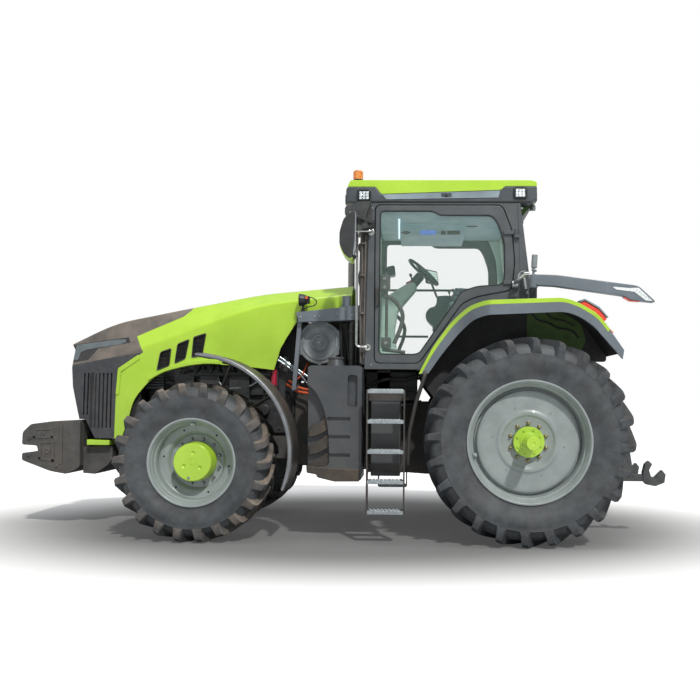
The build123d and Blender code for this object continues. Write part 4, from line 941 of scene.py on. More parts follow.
# Air cleaner: a black moulded canister with a ringed cover and one bright wing stud.
canister = finished("glass_filled_nylon_canister", "7d868a", 0.45, (90, "757e82", "878f93"), (6, 0.2),
                    ("8a7f72", 0.25, 130))
housing = prism(filleted([(1760, 1480), (1760, 2050), (2060, 2050), (2060, 1480)], 40), -230, 230)
housing = made("air_cleaner_housing", housing, [nylon], "root", "black_plastic", edge=10)
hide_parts("air_cleaner")
for side, name in sides:
    bm = bmesh.new()
    rings = [(228, 0.1), (228, 214), (440, 214), (446, 212), (450, 206), (450, 196), (446, 192), (438, 190),
             (436, 184), (438, 178), (446, 176), (447, 170), (447, 164), (438, 160), (432, 150), (430, 120),
             (432, 90), (436, 84), (448, 80), (450, 74), (450, 66), (444, 60), (438, 54), (438, 36),
             (444, 32), (446, 26), (446, 0.1)]
    revolved(bm, [(side * o, r) for o, r in rings], at(1973, 0, 1874), 72)
    for k in range(6):
        a = math.radians(30 + 60 * k)
        clip = bmesh.ops.create_cube(bm, size=1)["verts"]
        bmesh.ops.scale(bm, vec=Vector((0.014, 0.05, 0.03)), verts=clip)
        bmesh.ops.transform(bm, matrix=Matrix.Translation(at(1973 + 214 * math.cos(a), side * 425,
                                                             1874 + 214 * math.sin(a)))
                            @ Matrix.Rotation(-a, 4, "Y"), verts=clip)
    made(f"air_cleaner_cover_{name}", bm, [canister], "root", "black_plastic", crease=35)
    bm = bmesh.new()
    revolved(bm, [(side * o, r) for o, r in ((440, 24), (452, 24), (455, 20), (455, 13), (466, 12),
                                             (468, 8), (468, 0.1))], at(1973, 0, 1874), 24)
    made(f"air_cleaner_stud_{name}", bm, [bolt_steel], "root", "steel", crease=35)

# Bonnet beams: pressed steel side beams that carry the bonnet's hinge, painted cab grey.
powder_grey = finished("powder_coat_grey", "66707a", 0.4, (260, "616b74", "6e7881"), (3, 0.12), ("857a6e",
        0.22, 300, 0.7), settings={"Coat Weight": 0.15})
eased("hood_beams", [powder_grey], "cab_paint", 7, steps=3)
for side, name in sides:
    bm = bmesh.new()
    for x, z, r in ((1560, 2150, 11), (1640, 2138, 11), (1790, 2150, 9), (1960, 2125, 7), (2010, 2118, 7),
                    (1700, 2190, 9), (2150, 2110, 9)):
        revolved(bm, [(0, r + 3), (side * 2, r + 3), (side * 3, r), (side * 8, r), (side * 9, r - 3),
                      (side * 9, 0.1)], at(x, side * 580, z), 16)
    made(f"beam_bolts_{name}", bm, [bolt_steel], "root", "steel", crease=35)
    bm = bmesh.new()
    pipe(bm, [(1760, 430, 2060), (1760, 470, 2000), (1745, 480, 1700), (1730, 470, 1520)], 16, 40, side=side)
    pipe(bm, [(1700, 430, 2070), (1700, 475, 2010), (1690, 478, 1750), (1650, 500, 1600)], 11, 40, side=side)
    pipe(bm, [(1590, 480, 2080), (1600, 500, 1980), (1585, 505, 1780), (1560, 500, 1600)], 13, 40, side=side)
    made(f"cab_hoses_{name}", bm, [hose_rubber], "root", "black_plastic")
    post = prism([(1720, 1480), (1720, 2070), (1752, 2070), (1752, 1480)], side * 300, side * 330)
    made(f"pipe_stay_{name}", post, [chassis_black], "root", "cast_black", edge=3)

# Exhaust: a stainless stack with a blued heat shield standing ahead of the right cab post.
stainless = finished("heat_tinted_stainless", "9aa09f", 0.3, (260, "8d9494", "a79f93"), (22, 0.2),
                     metallic=0.9)
bm = bmesh.new()
pipe(bm, [(1762, -750, 1740), (1762, -750, 2876)], 38, 1, 40)
pipe(bm, [(1762, -750, 2872), (1762, -750, 2882)], 36, 1, 40)
stack = made("exhaust_pipe", bm, [stainless], "root", "steel", edge=2, crease=35)
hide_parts("exhaust_stack")
bm = bmesh.new()
pipe(bm, [(1762, -750, 1780), (1762, -750, 2500)], 75, 1, 56)
for z in (1800, 2140, 2480):
    pipe(bm, [(1762, -750, z - 9), (1762, -750, z + 9)], 78, 1, 56)
made("exhaust_shield", bm, [stainless], "root", "steel", edge=4, crease=35)
arm = prism([(1712, 1725), (1812, 1725), (1812, 1800), (1712, 1800)], -790, -230)
made("exhaust_bracket", arm, [chassis_black], "root", "cast_black", edge=8)

# Fuel tanks: rotationally moulded black polyethylene, grained by the mould. The front corner
# steps back in three flights for the turned wheel; a filler neck stands on top.
polyethylene = finished("rotomoulded_black_polyethylene", "3e4247", 0.46, (230, "393e43", "454a4f"),
                        (4, 0.25), ("6f6659", 0.5, 420, 0.75))
dusty_poly = finished("dusty_black_polyethylene", "262627", 0.6, (90, "202122", "2c2c2c"), (4, 0.25),
                      ("6a5d4f", 0.85, 300, 0.4))
tank_line = filleted([(1512, 1612), (1540, 1622), (1985, 1622), (2010, 1606), (2020, 1300), (2020, 704),
                      (2012, 637), (1924, 624), (1909, 595), (1753, 559), (1548, 561), (1512, 572)], 30)
swoosh = filleted([(2060, 1452), (1998, 1440), (1930, 1370), (1868, 1250), (1826, 1080), (1812, 900),
                   (1808, 690), (2060, 676)], 60)
for side, name in sides:
    body = prism(tank_line, side * 620, side * 1000)
    body = combined(body, prism(swoosh, side * 905, side * 1010), "DIFFERENCE")
    slot = filleted([(1553, 1241), (1643, 1241), (1643, 1537), (1553, 1537)], 34)
    body = combined(body, prism(slot, side * 945, side * 1010), "DIFFERENCE")
    for z in (1132, 965, 796):
        groove = filleted([(1617, z - 17), (1830, z - 17), (1830, z + 17), (1617, z + 17)], 15)
        body = combined(body, prism(groove, side * 974, side * 1010), "DIFFERENCE")
    tank = made(f"fuel_tank_{name}", body, [polyethylene], "root", "black_plastic", edge=9, crease=38,
                steps=3)
    if side == 1:
        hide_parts("fuel_tanks")
    bm = bmesh.new()
    for z in (1132, 965, 796):
        ledge = filleted([(1800, z + 22), (1850, z + 14), (1920, z - 46), (2008, z - 84), (2008, z - 170),
                          (1985, z - 176), (1900, z - 150), (1830, z - 110), (1800, z - 100)], 24)
        joined(bm, prism(ledge, side * 900, side * 958))
    made(f"tank_flights_{name}", bm, [dusty_poly], "root", "black_plastic", edge=10, crease=38, steps=3)
    front_side = prism([(2005, 700), (2022, 700), (2022, 1600), (2005, 1612)], side * 628, side * 900)
    made(f"tank_front_{name}", front_side, [dusty_poly], "root", "black_plastic", edge=6, steps=3)
    skirt = prism(filleted([(1528, 556), (1760, 553), (1916, 590), (1930, 618), (2016, 632), (2022, 700),
                            (1840, 676), (1528, 668)], 12), side * 990, side * 1006)
    made(f"tank_skirt_{name}", skirt, [dusty_poly], "root", "black_plastic", edge=5, steps=3)
    bm = bmesh.new()
    neck = [(0, 0.1), (0, 86), (8, 84), (56, 70), (66, 68), (70, 74), (84, 73), (88, 68), (88, 40),
            (84, 36), (84, 0.1)]
    turned_up = Matrix.Translation(at(1770, side * 860, 1619)) @ Matrix.Rotation(math.pi / 2, 4, "X")
    revolved(bm, neck, Vector((0, 0, 0)), 56)
    for k in range(24):
        a = 2 * math.pi * k / 24
        knurl = bmesh.ops.create_cube(bm, size=1)["verts"]
        bmesh.ops.scale(bm, vec=Vector((0.008, 0.014, 0.006)), verts=knurl)
        bmesh.ops.transform(bm, matrix=Matrix.Rotation(-a, 4, "Y") @ Matrix.Translation(Vector((0.073,
                0.077, 0))), verts=knurl)
    bmesh.ops.transform(bm, matrix=turned_up, verts=bm.verts)
    made(f"filler_neck_{name}", bm, [polyethylene], "root", "black_plastic", edge=1.5, crease=38)

# Step ladder: flat steel rails with galvanised treads, their round holes flanged up for grip.
# The battery and tool box behind it is moulded black plastic with a toe space over each tread.
galvanised = finished("galvanised_tread_steel", "aeb7ba", 0.42, (22, "95a0a5", "b7c0c4"), (9, 0.2),
                      ("877a6a", 0.3, 70), metallic=0.5)
eased("battery_boxes", [polyethylene], "black_plastic", 10, steps=3)
for side, name in sides:
    bm = bmesh.new()
    for x in (1118, 1452):
        for z0, z1, y0, y1 in ((290, 1400, 1062, 1178), (640, 714, 950, 1064), (1300, 1374, 950, 1064)):
            joined(bm, prism([(x - 7, z0), (x + 7, z0), (x + 7, z1), (x - 7, z1)], side * y0, side * y1))
    ladder = made(f"ladder_rails_{name}", bm, [chassis_black], "root", "steel", edge=3)
    if side == 1:
        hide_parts("cab_steps")
    plates = bmesh.new()
    for z in (640, 1300):
        joined(plates, prism([(1110, z), (1460, z), (1460, z + 74), (1110, z + 74)], side * 950, side * 958))
    made(f"ladder_plates_{name}", plates, [chassis_black], "root", "steel", edge=2)
    for number in range(5):
        z = 276 + 272 * number
        bm = bmesh.new()
        joined(bm, prism([(1123, z + 4), (1447, z + 4), (1447, z + 36), (1123, z + 36)], side * 1062,
                         side * 1178))
        for row, y in ((0, 1092), (1, 1148)):
            for k in range(9 - row):
                spot = at(1145 + 35 * k + 17.5 * row, side * y, z + 36)
                ring = []
                for r, up in ((14, 0), (11.5, 8), (9.5, 8.5), (8.5, 2)):
                    ring.append([bm.verts.new(spot + Vector((r * math.cos(a), r * math.sin(a), up)) / 1000)
                                 for a in (2 * math.pi * j / 12 for j in range(12))])
                skinned(bm, ring)
                bm.faces.new(ring[-1])
        for k in range(17):
            brick(bm, (0.009, 0.006, 0.024), at(1132 + 19 * k, side * 1178, z + 21))
        made(f"ladder_tread_{name}_{number + 1}", bm, [galvanised], "root", "steel", edge=1.5, crease=40)

# Engine bay screens: black sheet and ducting behind the pipes, round the radiator and under
# the cab floor, bolted to the frame.
bay_black = finished("satin_black_sheet_metal", "1e2022", 0.6, (90, "191b1c", "2a2d2f"), (6, 0.4),
                     ("4d443b", 0.3, 150, 0.5), metallic=0.2)
# Dome: a black block above the engine's rear, standing for the shade in the bay behind the engine.
dome = prism([(2200, 1600), (2480, 1600), (2480, 1790), (2360, 1900), (2280, 2060), (2200, 2080)], -220, 220)
made("engine_dome_shade_block", dome, [bay_black], "root", "steel", edge=12)
intake = prism([(3060, 1700), (3560, 1700), (3560, 1850), (3060, 2010)], -205, 205)
made("intake_housing", intake, [bay_black], "root", "steel", edge=12)
duct = prism(filleted([(3800, 1000), (4300, 1000), (4300, 1560), (3900, 1700), (3760, 1560)], 40), -395, 395)
made("radiator_duct", duct, [bay_black], "root", "steel", edge=10)
screen = prism(filleted([(1515, 1500), (2230, 1500), (2260, 1900), (2230, 2080), (1515, 2140)], 30), -226,
               226)
made("bulkhead_screen", screen, [bay_black], "root", "steel", edge=8)
under = prism(filleted([(1000, 1300), (1505, 1300), (1505, 1590), (1000, 1590)], 30), -560, 560)
made("cab_underside_tray", under, [bay_black], "root", "steel", edge=12)
for side, name in sides:
    bm = bmesh.new()
    pipe(bm, [(1640, 560, 1640), (1640, 560, 2050), (1600, 500, 2110)], 34, 60, 28, side=side)
    pipe(bm, [(1560, 590, 1600), (1560, 590, 2000), (1530, 560, 2090)], 12, 40, 14, side=side)
    pipe(bm, [(1600, 620, 1600), (1592, 620, 1900), (1570, 600, 2060)], 10, 40, 14, side=side)
    for z in (1700, 1960):
        pipe(bm, [(1640, 560, z), (1640, 560, z + 26)], 41, 1, 24, side=side)
    made(f"bay_hoses_{name}", bm, [hose_rubber], "root", "black_plastic", crease=40)
    bm = bmesh.new()
    pipe(bm, [(980, 560, 1560), (1120, 600, 1500), (1300, 600, 1520), (1500, 560, 1440)], 18, 80, 20,
         side=side)
    pipe(bm, [(1000, 600, 1400), (1180, 620, 1430), (1420, 600, 1340)], 13, 80, 16, side=side)
    pipe(bm, [(960, 480, 1290), (1250, 520, 1240), (1520, 500, 1300)], 22, 90, 20, side=side)
    made(f"underfloor_hoses_{name}", bm, [hose_rubber], "root", "black_plastic", crease=40)

# Rear fenders: pressed steel arches over the driving wheels, powder coated grey outside, with a
# lime strip along the top edge and black underseal in the wheelhouse.
underseal = finished("sprayed_black_underseal", "222427", 0.75, (120, "1e2023", "2c2f32"), (10, 0.7),
                     ("4d463e", 0.25, 200, 0.4))


def slab(outline, z0, z1):
    """Closed solid between two heights, from a plan outline of (forward, left) points."""
    bm = bmesh.new()
    low = [bm.verts.new(at(x, y, z0)) for x, y in outline]
    high = [bm.verts.new(at(x, y, z1)) for x, y in outline]
    bm.faces.new(low)
    bm.faces.new(high[::-1])
    for i in range(len(outline)):
        j = (i + 1) % len(outline)
        bm.faces.new((low[i], high[i], high[j], low[j]))
    return bm


fender_top = [(989, 1556), (872, 1789), (690, 2040), (540, 2165), (410, 2203), (-290, 2223), (-420, 2178),
              (-590, 2080), (-690, 1945), (-818, 1763)]
fender_low = [(900, 1556), (782, 1729), (620, 1930), (500, 2040), (400, 2071), (-310, 2098), (-430, 2055),
              (-560, 1965), (-640, 1870), (-805, 1685)]
fender_top = filleted(fender_top, 110, 6, closed=False)
fender_low = filleted(fender_low, 110, 6, closed=False)
fender_seam = [(a + (c - a) * 0.3, b + (d - b) * 0.3) for (a, b), (c, d) in zip(fender_top, fender_low)]


def fender_edge(x):
    """How far out from the middle the fender's edge stands, which narrows towards the cab's step."""
    plan = filleted([(-900, 1250), (330, 1250), (720, 905), (1000, 905)], 140, 6, closed=False)
    for (x0, y0), (x1, y1) in zip(plan, plan[1:]):
        if x <= x1:
            return y0 + (y1 - y0) * (x - x0) / (x1 - x0)
    return plan[-1][1]


def drawn(rings, closed=True):
    """Solid through rings of points in millimetres, capped at both ends."""
    bm = bmesh.new()
    loops = [[bm.verts.new(at(*point)) for point in ring] for ring in rings]
    skinned(bm, loops)
    if closed:
        bm.faces.new(loops[0])
        bm.faces.new(loops[-1][::-1])
    return bm


# Lime enamel of the inner wing and the roof gusset, drawn dark green as painted shade, with darker patches.
lime_in_painted_shade = finished("lime_enamel_in_painted_shade", "3d5a24", 0.6, (160, "36521f", "4a6b2a"), (5, 0.3),
                      ("2b2c22", 0.35, 160, 0.3))
for side, name in sides:
    wing_rings, strip_rings = [], []
    for (tx, tz), (sx, sz), (lx, lz) in zip(fender_top, fender_seam, fender_low):
        edge = fender_edge(tx)
        wing_rings.append([(tx, side * 600, tz), (tx, side * (edge - 3), tz), (sx, side * (edge - 3), sz),
                           (sx, side * edge, sz), (lx, side * edge, lz), (lx, side * (edge - 30), lz),
                           (sx, side * (edge - 32), sz), (sx, side * 600, sz)])
        out = (tx - sx) * 0.02, (tz - sz) * 0.02
        strip_rings.append([(tx + out[0], side * (edge - 60), tz + out[1]), (tx + out[0], side * (edge + 1),
                tz + out[1]), (sx, side * (edge + 1), sz), (sx, side * (edge - 25), sz),
                (tx, side * (edge - 60), tz - 6)])
    wing = drawn(wing_rings)
    bmesh.ops.recalc_face_normals(wing, faces=wing.faces)
    for face in wing.faces:
        middle = face.calc_center_median()
        if abs(middle.y) < 1.235 and face.normal.z < 0.1 and face.normal.y * side < 0.5:
            face.material_index = 1
    wing = made(f"fender_{name}", wing, [powder_grey, underseal], "root", "cab_paint", edge=5, crease=32,
                steps=2)
    last = next(i for i, (x, z) in enumerate(fender_top) if x < -700)
    strip = made(f"fender_strip_{name}", drawn(strip_rings[:last]), [lime_enamel], "root", "lime_paint",
                 edge=5, crease=32, steps=2)
    if side == 1:
        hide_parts("rear_fenders")
        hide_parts("fender_trims")
    wall = filleted([(985, 1556), (868, 1785), (686, 2036), (536, 2160), (408, 2196), (-288, 2216),
                     (-418, 2172), (-586, 2076), (-690, 1938), (-812, 1745), (-806, 1690), (-650, 1690),
                     (-560, 1560), (-300, 1250), (600, 1250), (940, 1480)], 40)
    made(f"wheelhouse_{name}", prism(wall, side * 602, side * 640), [underseal], "root", "black_plastic",
         edge=6)
    # The wheelhouse panel is lime paint in painted shade.
    panel = filleted([(-46, 2190), (-280, 2205), (-410, 2165), (-560, 2060), (-615, 1900), (-560, 1790),
                      (-46, 1850)], 30)
    panel = prism(panel, side * 638, side * 646)
    made(f"wheelhouse_panel_{name}", panel, [lime_in_painted_shade], "root", "lime_paint", edge=3)
    bm = bmesh.new()
    pipe(bm, [(-90, 652, 2150), (-150, 660, 2080), (-260, 664, 2060), (-330, 664, 2010), (-480, 664, 1990),
              (-540, 660, 1920)], 9, 50, side=side)
    pipe(bm, [(-230, 652, 2150), (-300, 664, 2090), (-400, 664, 2080), (-500, 664, 2030)], 7, 40, side=side)
    made(f"wheelhouse_lead_{name}", bm, [hose_rubber], "root", "black_plastic")
    flap = prism([(700, 1560), (980, 1560), (950, 1470), (820, 1300), (760, 1250), (700, 1250)], side * 640,
                 side * 652)
    made(f"fender_flap_{name}", flap, [underseal], "root", "black_plastic", edge=5)
    bm = bmesh.new()
    pipe(bm, [(960, 700, 1600), (935, 880, 1600), (930, 905, 1540), (1010, 890, 1300), (1075, 880, 1000),
              (1085, 870, 700)], 19, 60, 20, side=side)
    made(f"side_stay_{name}", bm, [chassis_black], "root", "steel", crease=40)

# Cab: welded tube and sheet frame, powder coated grey, with a leaning windscreen frame. Black
# rubber seals run round the doors and panes.
door_grey = finished("powder_coat_door_grey", "474d50", 0.42, (200, "43494c", "50565a"), (3, 0.12),
                     ("7c7266", 0.15, 260), settings={"Coat Weight": 0.15})
seal_rubber = finished("extruded_seal_rubber", "17191a", 0.5, (60, "141617", "212425"), (4, 0.1))
# Pale green lining, its colour lifted further as painted light for the cab's inside under the roof's shadow.
pale_lining_and_painted_light = finished("pale_green_lining_lifted_as_painted_light", "d9eee3", 0.6, (180, "c8e0d4", "d8ece2"), (3, 0.15))
cab_line = [(1504, 1600), (1464, 3175), (45, 3175), (-40, 2520), (-58, 2330), (-63, 2214)]
cab_line += filleted([(-63, 2214), (410, 2203), (540, 2165), (690, 2040), (872, 1789), (967, 1600)], 110, 6,
                     closed=False)[1:]
cab_void = filleted([(1454, 1650), (1414, 3225), (98, 3225), (10, 2520), (-8, 2330), (-13, 2260),
                     (420, 2253), (560, 2212), (725, 2075), (912, 1815), (1010, 1650)], 40)
door_line = [(1409, 1660), (1409, 3150), (215, 3150), (122, 2914), (96, 2610), (122, 2352), (448, 2290),
             (586, 2228), (972, 1685), (1010, 1660)]
door_line = filleted(door_line, 55)


def widened(outline, gap):
    """The outline moved outwards by a gap in millimetres."""
    result = []
    count = len(outline)
    area = sum(outline[i][0] * outline[(i + 1) % count][1] - outline[(i + 1) % count][0] * outline[i][1]
               for i in range(count))
    sign = 1 if area > 0 else -1
    for i in range(count):
        before, here, after = (Vector(outline[(i + k) % count]) for k in (-1, 0, 1))
        a, b = (here - before).normalized(), (after - here).normalized()
        normal = Vector(((a + b).y, -(a + b).x))
        if normal.length < 1e-6:
            normal = Vector((a.y, -a.x))
        result.append(tuple(here + normal.normalized() * gap * sign))
    return result


cab = combined(prism(cab_line, -800, 800), prism(cab_void, -750, 750), "DIFFERENCE")
cab = combined(cab, slab([(-13, -599), (1010, -599), (1010, 599), (-13, 599)], 1610, 2300), "DIFFERENCE")
floor_pan = slab([(-63, -599), (1010, -599), (1010, 599), (-63, 599)], 1600, 1650)
floor_pan = combined(floor_pan, slab([(-63, -599), (-13, -599), (-13, 599), (-63, 599)], 1640, 2216), "UNION")
for side in (1, -1):
    gap = widened(door_line, 8)
    cab = combined(cab, prism(gap, side * 700, side * 830), "DIFFERENCE")
for x0, x1, y1, z0, z1 in ((1300, 1600, 700, 1960, 3110), (-150, 160, 660, 2340, 3110)):
    opening = filleted([(-y1, z0), (y1, z0), (y1, z1), (-y1, z1)], 70)
    bm = bmesh.new()
    near = [bm.verts.new(at(x0, y, z)) for y, z in opening]
    far = [bm.verts.new(at(x1, y, z)) for y, z in opening]
    bm.faces.new(near)
    bm.faces.new(far[::-1])
    for i in range(len(opening)):
        j = (i + 1) % len(opening)
        bm.faces.new((near[i], far[i], far[j], near[j]))
    cab = combined(cab, bm, "DIFFERENCE")
for face in cab.faces:
    middle = face.calc_center_median() - at(0, 0, 0)
    if abs(middle.y) < 0.76 and face.normal.dot(middle - Vector((0.72, 0, 2.4))) < 0:
        face.material_index = 1
cab = made("cab_shell", cab, [door_grey, pale_lining_and_painted_light], "root", "cab_paint", edge=5, crease=28, steps=2)
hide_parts("cab_frame")
made("cab_floor_pan", floor_pan, [underseal], "root", "black_plastic", edge=5)
for side, name in sides:
    bm = bmesh.new()
    for z in (2400, 2870):
        brick(bm, (0.05, 0.043, 0.03), at(78, side * 816.5, z - 15))
        pipe(bm, [(85, 822, z - 10), (85, 822, z + 46)], 8, 1, 20, side=side)
        pipe(bm, [(85, 822, z + 45), (85, 822, z + 52)], 12, 1, 6, side=side)
    made(f"hinge_lugs_{name}", bm, [door_grey], "root", "cab_paint", edge=2, crease=40)
    rubber = combined(prism(widened(door_line, 9), side * 752, side * 776), prism(widened(door_line, 1),
            side * 740, side * 800), "DIFFERENCE")
    made(f"door_seal_{name}", rubber, [seal_rubber], "root", "black_plastic", edge=2)
    bm = bmesh.new()
    for x, z, r in ((1440, 1640, 8), (1440, 3120, 8), (30, 3120, 8), (-30, 2320, 8)):
        revolved(bm, [(0, r + 2), (side * 3, r + 2), (side * 4, r - 2), (side * 4, 0.1)], at(x, side * 800,
                z), 16)
    made(f"cab_screws_{name}", bm, [bolt_steel], "root", "steel", crease=40)

# Corner covers: black moulded strips that carry the wiring and hoses down the windscreen's
# posts, and darker pressed bands along the cab's rear edge.
post_cover = finished("moulded_black_post_cover", "2b2f32", 0.5, (70, "262a2c", "3a3f42"), (12, 0.6),
                      ("6a5f52", 0.3, 140, 0.2))
for side, name in sides:
    cover = prism(filleted([(1494, 1640), (1556, 1640), (1560, 2600), (1545, 3000), (1524, 3172),
                            (1458, 3172)], 16), side * 715, side * 782)
    made(f"post_cover_{name}", cover, [post_cover], "root", "black_plastic", edge=6, steps=3)
    bm = bmesh.new()
    pipe(bm, [(1512, 790, 1700), (1506, 790, 2300), (1500, 790, 2860)], 8, 20, 16, side=side)
    pipe(bm, [(1540, 788, 1660), (1548, 788, 2200), (1530, 788, 2500), (1538, 788, 2900)], 7, 60, 16,
         side=side)
    for z in (1760, 2120, 2480, 2780):
        pipe(bm, [(1525, 786, z), (1525, 786, z + 16)], 28, 1, 14, side=side)
    made(f"post_hoses_{name}", bm, [dusty_nylon], "root", "black_plastic", crease=40)
    bm = combined(prism(filleted([(1440, 3160), (1560, 3160), (1690, 3110), (1690, 3030), (1600, 2990),
                                  (1520, 2900), (1440, 2930)], 24), side * 803, side * 905),
                  prism([(1400, 3300), (1500, 3000), (1400, 2800)], side * 850, side * 960), "DIFFERENCE")
    made(f"mirror_bracket_{name}", bm, [post_cover], "root", "black_plastic", edge=10, steps=3)
    band = filleted([(45, 3165), (-40, 2520), (-54, 2330), (26, 2330), (44, 2520), (70, 3165)], 10)
    made(f"rear_edge_band_{name}", prism(band, side * 797, side * 806), [door_grey], "root", "cab_paint",
         edge=3)
    # The lime gusset under the roof's rear edge, in painted shade.
    gusset = prism([(62, 3176), (-108, 3212), (-60, 3160), (40, 3050)], side * 560, side * 640)
    made(f"rear_lamp_gusset_{name}", gusset, [lime_in_painted_shade], "root", "lime_paint", edge=3)
    bm = bmesh.new()
    pipe(bm, [(-96, 640, 3186), (-96, 640, 3140)], 26, 1, 24, side=side)
    pipe(bm, [(-96, 720, 3176), (-96, 600, 3176)], 9, 1, 14, side=side)
    made(f"rear_lamp_mount_{name}", bm, [bolt_steel], "root", "steel", edge=3, crease=40)

# Panes: toughened green-tinted safety glass, bonded into the frame with a black printed border.
safety_glass = finished("green_tinted_safety_glass", "b4d3c6", 0.03, (600, "aecfc2", "bcd9ce"), (500, 0.2),
                        settings={"Alpha": 0.06, "IOR": 1.52, "Specular IOR Level": 0.22})
border = finished("black_glass_border", "1c1f21", 0.25, (90, "191c1e", "25292b"), (60, 0.05))
for name, foot, top, y1, thick in (("front", (1497, 1930), (1463, 3130), 720, 8), ("back", (-54, 2320),
        (38, 3130), 680, 8)):
    lean = (top[0] - foot[0]) / (top[1] - foot[1])
    rings = {}
    for inset, out in ((0, 0), (34, 0)):
        line = filleted([(-y1 + inset, foot[1] + inset), (y1 - inset, foot[1] + inset), (y1 - inset,
                top[1] - inset), (-y1 + inset, top[1] - inset)], 70 - inset / 2)
        for shift in (-thick, -thick / 2, thick / 2, thick):
            rings[inset, shift] = [(foot[0] + shift + (z - foot[1]) * lean, y, z) for y, z in line]
    pane = made(f"{name}_pane", drawn([rings[0, -thick / 2], rings[0, thick / 2]]), [safety_glass], "root",
                "tinted_glass", edge=1)
    if name == "front":
        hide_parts("cab_windows")
    rim = drawn([rings[0, -thick], rings[0, thick], rings[34, thick], rings[34, -thick], rings[0, -thick]],
                closed=False)
    bmesh.ops.remove_doubles(rim, verts=rim.verts, dist=1e-6)
    made(f"{name}_pane_border", rim, [border], "root", "black_plastic", edge=2)
wiper = bmesh.new()
pipe(wiper, [(1512, -60, 1985), (1502, 40, 2200), (1494, 150, 2560)], 9, 30)
pipe(wiper, [(1497, 60, 2300), (1492, 150, 2560), (1484, 240, 2820)], 6, 30)
pipe(wiper, [(1500, -60, 1985), (1532, -60, 1985)], 24, 1, 20)
made("windscreen_wiper", wiper, [seal_rubber], "root", "black_plastic", crease=40)

# Doors: grey frames on rear hinges, each round one bent pane of the same green glass. A tube
# bar, a latch and a folded grab bar are fixed inside.
glass_line = [(1370, 1745), (1362, 3098), (865, 3098), (799, 3058), (303, 3058), (247, 2969), (192, 2804),
              (188, 2582), (190, 2444), (225, 2402), (449, 2387), (600, 2332), (640, 2255), (985, 1755),
              (1040, 1742)]
glass_line = filleted(glass_line, 48)
for side, name in sides:
    door = combined(prism(door_line, side * 752, side * 798), prism(glass_line, side * 740, side * 810),
                    "DIFFERENCE")
    door = made(f"door_frame_{name}", door, [door_grey], f"door_{name}", "cab_paint", edge=7, crease=28,
                steps=3)
    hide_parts(f"door_{name}")
    pane = made(f"door_pane_{name}", prism(widened(glass_line, 3), side * 771, side * 779), [safety_glass],
                f"door_{name}", "tinted_glass", edge=1)
    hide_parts(f"door_glass_{name}")
    rubber = combined(prism(widened(glass_line, 6), side * 764, side * 801), prism(widened(glass_line, -5),
            side * 750, side * 810), "DIFFERENCE")
    made(f"pane_seal_{name}", rubber, [seal_rubber], f"door_{name}", "black_plastic", edge=4, steps=3)
    bm = bmesh.new()
    for z in (2400, 2870):
        pipe(bm, [(85, 822, z + 2), (85, 822, z + 44)], 15, 1, 28, side=side)
        for x, y0, y1 in ((92, 808, 818), (150, 796, 809)):
            leaf = [(x, z + 5), (200, z + 5), (200, z + 40), (x, z + 40)]
            joined(bm, prism(leaf, side * y0, side * y1))
    made(f"door_hinges_{name}", bm, [door_grey], f"door_{name}", "cab_paint", edge=2, crease=40)
    handle = prism(filleted([(1374, 2188), (1402, 2188), (1402, 2372), (1374, 2372)], 12), side * 796,
                   side * 826)
    made(f"door_handle_{name}", handle, [nylon], f"door_{name}", "black_plastic", edge=6, steps=3)
    bm = bmesh.new()
    pipe(bm, [(1300, 735, 1830), (1300, 735, 2440)], 14, 1, 20, side=side)
    pipe(bm, [(1330, 728, 2300), (1262, 715, 2290), (1190, 705, 2225), (1140, 700, 2130), (1160, 705, 2010),
              (1225, 720, 1850)], 20, 50, 20, side=side)
    pipe(bm, [(1340, 720, 1790), (1120, 715, 1765)], 17, 1, 20, side=side)
    pipe(bm, [(1180, 715, 1800), (1150, 712, 1740), (1090, 712, 1735)], 11, 20, side=side)
    made(f"door_bars_{name}", bm, [nylon], f"door_{name}", "black_plastic", crease=40)
    for part, outline in (("latch", [(1266, 2345), (1372, 2345), (1372, 2496), (1266, 2496)]),
                          ("stop", [(1256, 1800), (1352, 1800), (1352, 1905), (1256, 1905)])):
        box = prism(filleted(outline, 14), side * 716, side * 768)
        made(f"door_{part}_{name}", box, [nylon], f"door_{name}", "black_plastic", edge=6, steps=3)
    bm = bmesh.new()
    for x, z in ((1319, 2462), (1319, 2380), (1304, 1852)):
        revolved(bm, [(0, 0.1), (side * -4, 0.1), (side * -4, 13), (0, 16), (side * 8, 16), (side * 8,
                0.1)], at(x, side * 770, z), 20)
    made(f"door_screws_{name}", bm, [bolt_steel], f"door_{name}", "steel", crease=40)
bm = bmesh.new()
for x, z in ((560, 2565), (880, 2037)):
    pipe(bm, [(1334, -738, z), (x, -738, z)], 13, 1, 16)
made("right_door_rails", bm, [nylon], "door_right", "black_plastic")

# Roof: a black moulded base with lamp pods at its corners and a lime cap over it, both in
# thermoformed ABS. A silver strip runs between the pods on each side.
roof_abs = finished("thermoformed_dark_abs", "3f464a", 0.42, (180, "3b4246", "4a5155"), (3, 0.12))
silver_abs = finished("silver_painted_abs", "8a969c", 0.38, (400, "78838a", "9babb3", 0.3, 0.7, 2),
                      (30, 0.1), metallic=0.35)
base_line = [(1459, 3175), (1689, 3175), (1689, 3300), (1676, 3325), (1411, 3325), (1355, 3256),
             (228, 3296), (187, 3331), (-112, 3331), (-112, 3211), (-60, 3175)]
roof = made("roof_base_shell", prism(filleted(base_line, 14), -800, 800), [roof_abs], "root",
            "dark_grey_plastic", edge=10, crease=28, steps=3)
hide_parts("roof_base")
cap_line = [(1676, 3325), (1654, 3375), (1640, 3388), (-60, 3388), (-108, 3375), (-112, 3331), (187, 3331),
            (228, 3296), (1355, 3256), (1411, 3325)]
cap = made("roof_cap", prism(filleted(cap_line, 14), -800, 800), [lime_enamel], "root", "lime_paint",
           edge=12, crease=28, steps=4)
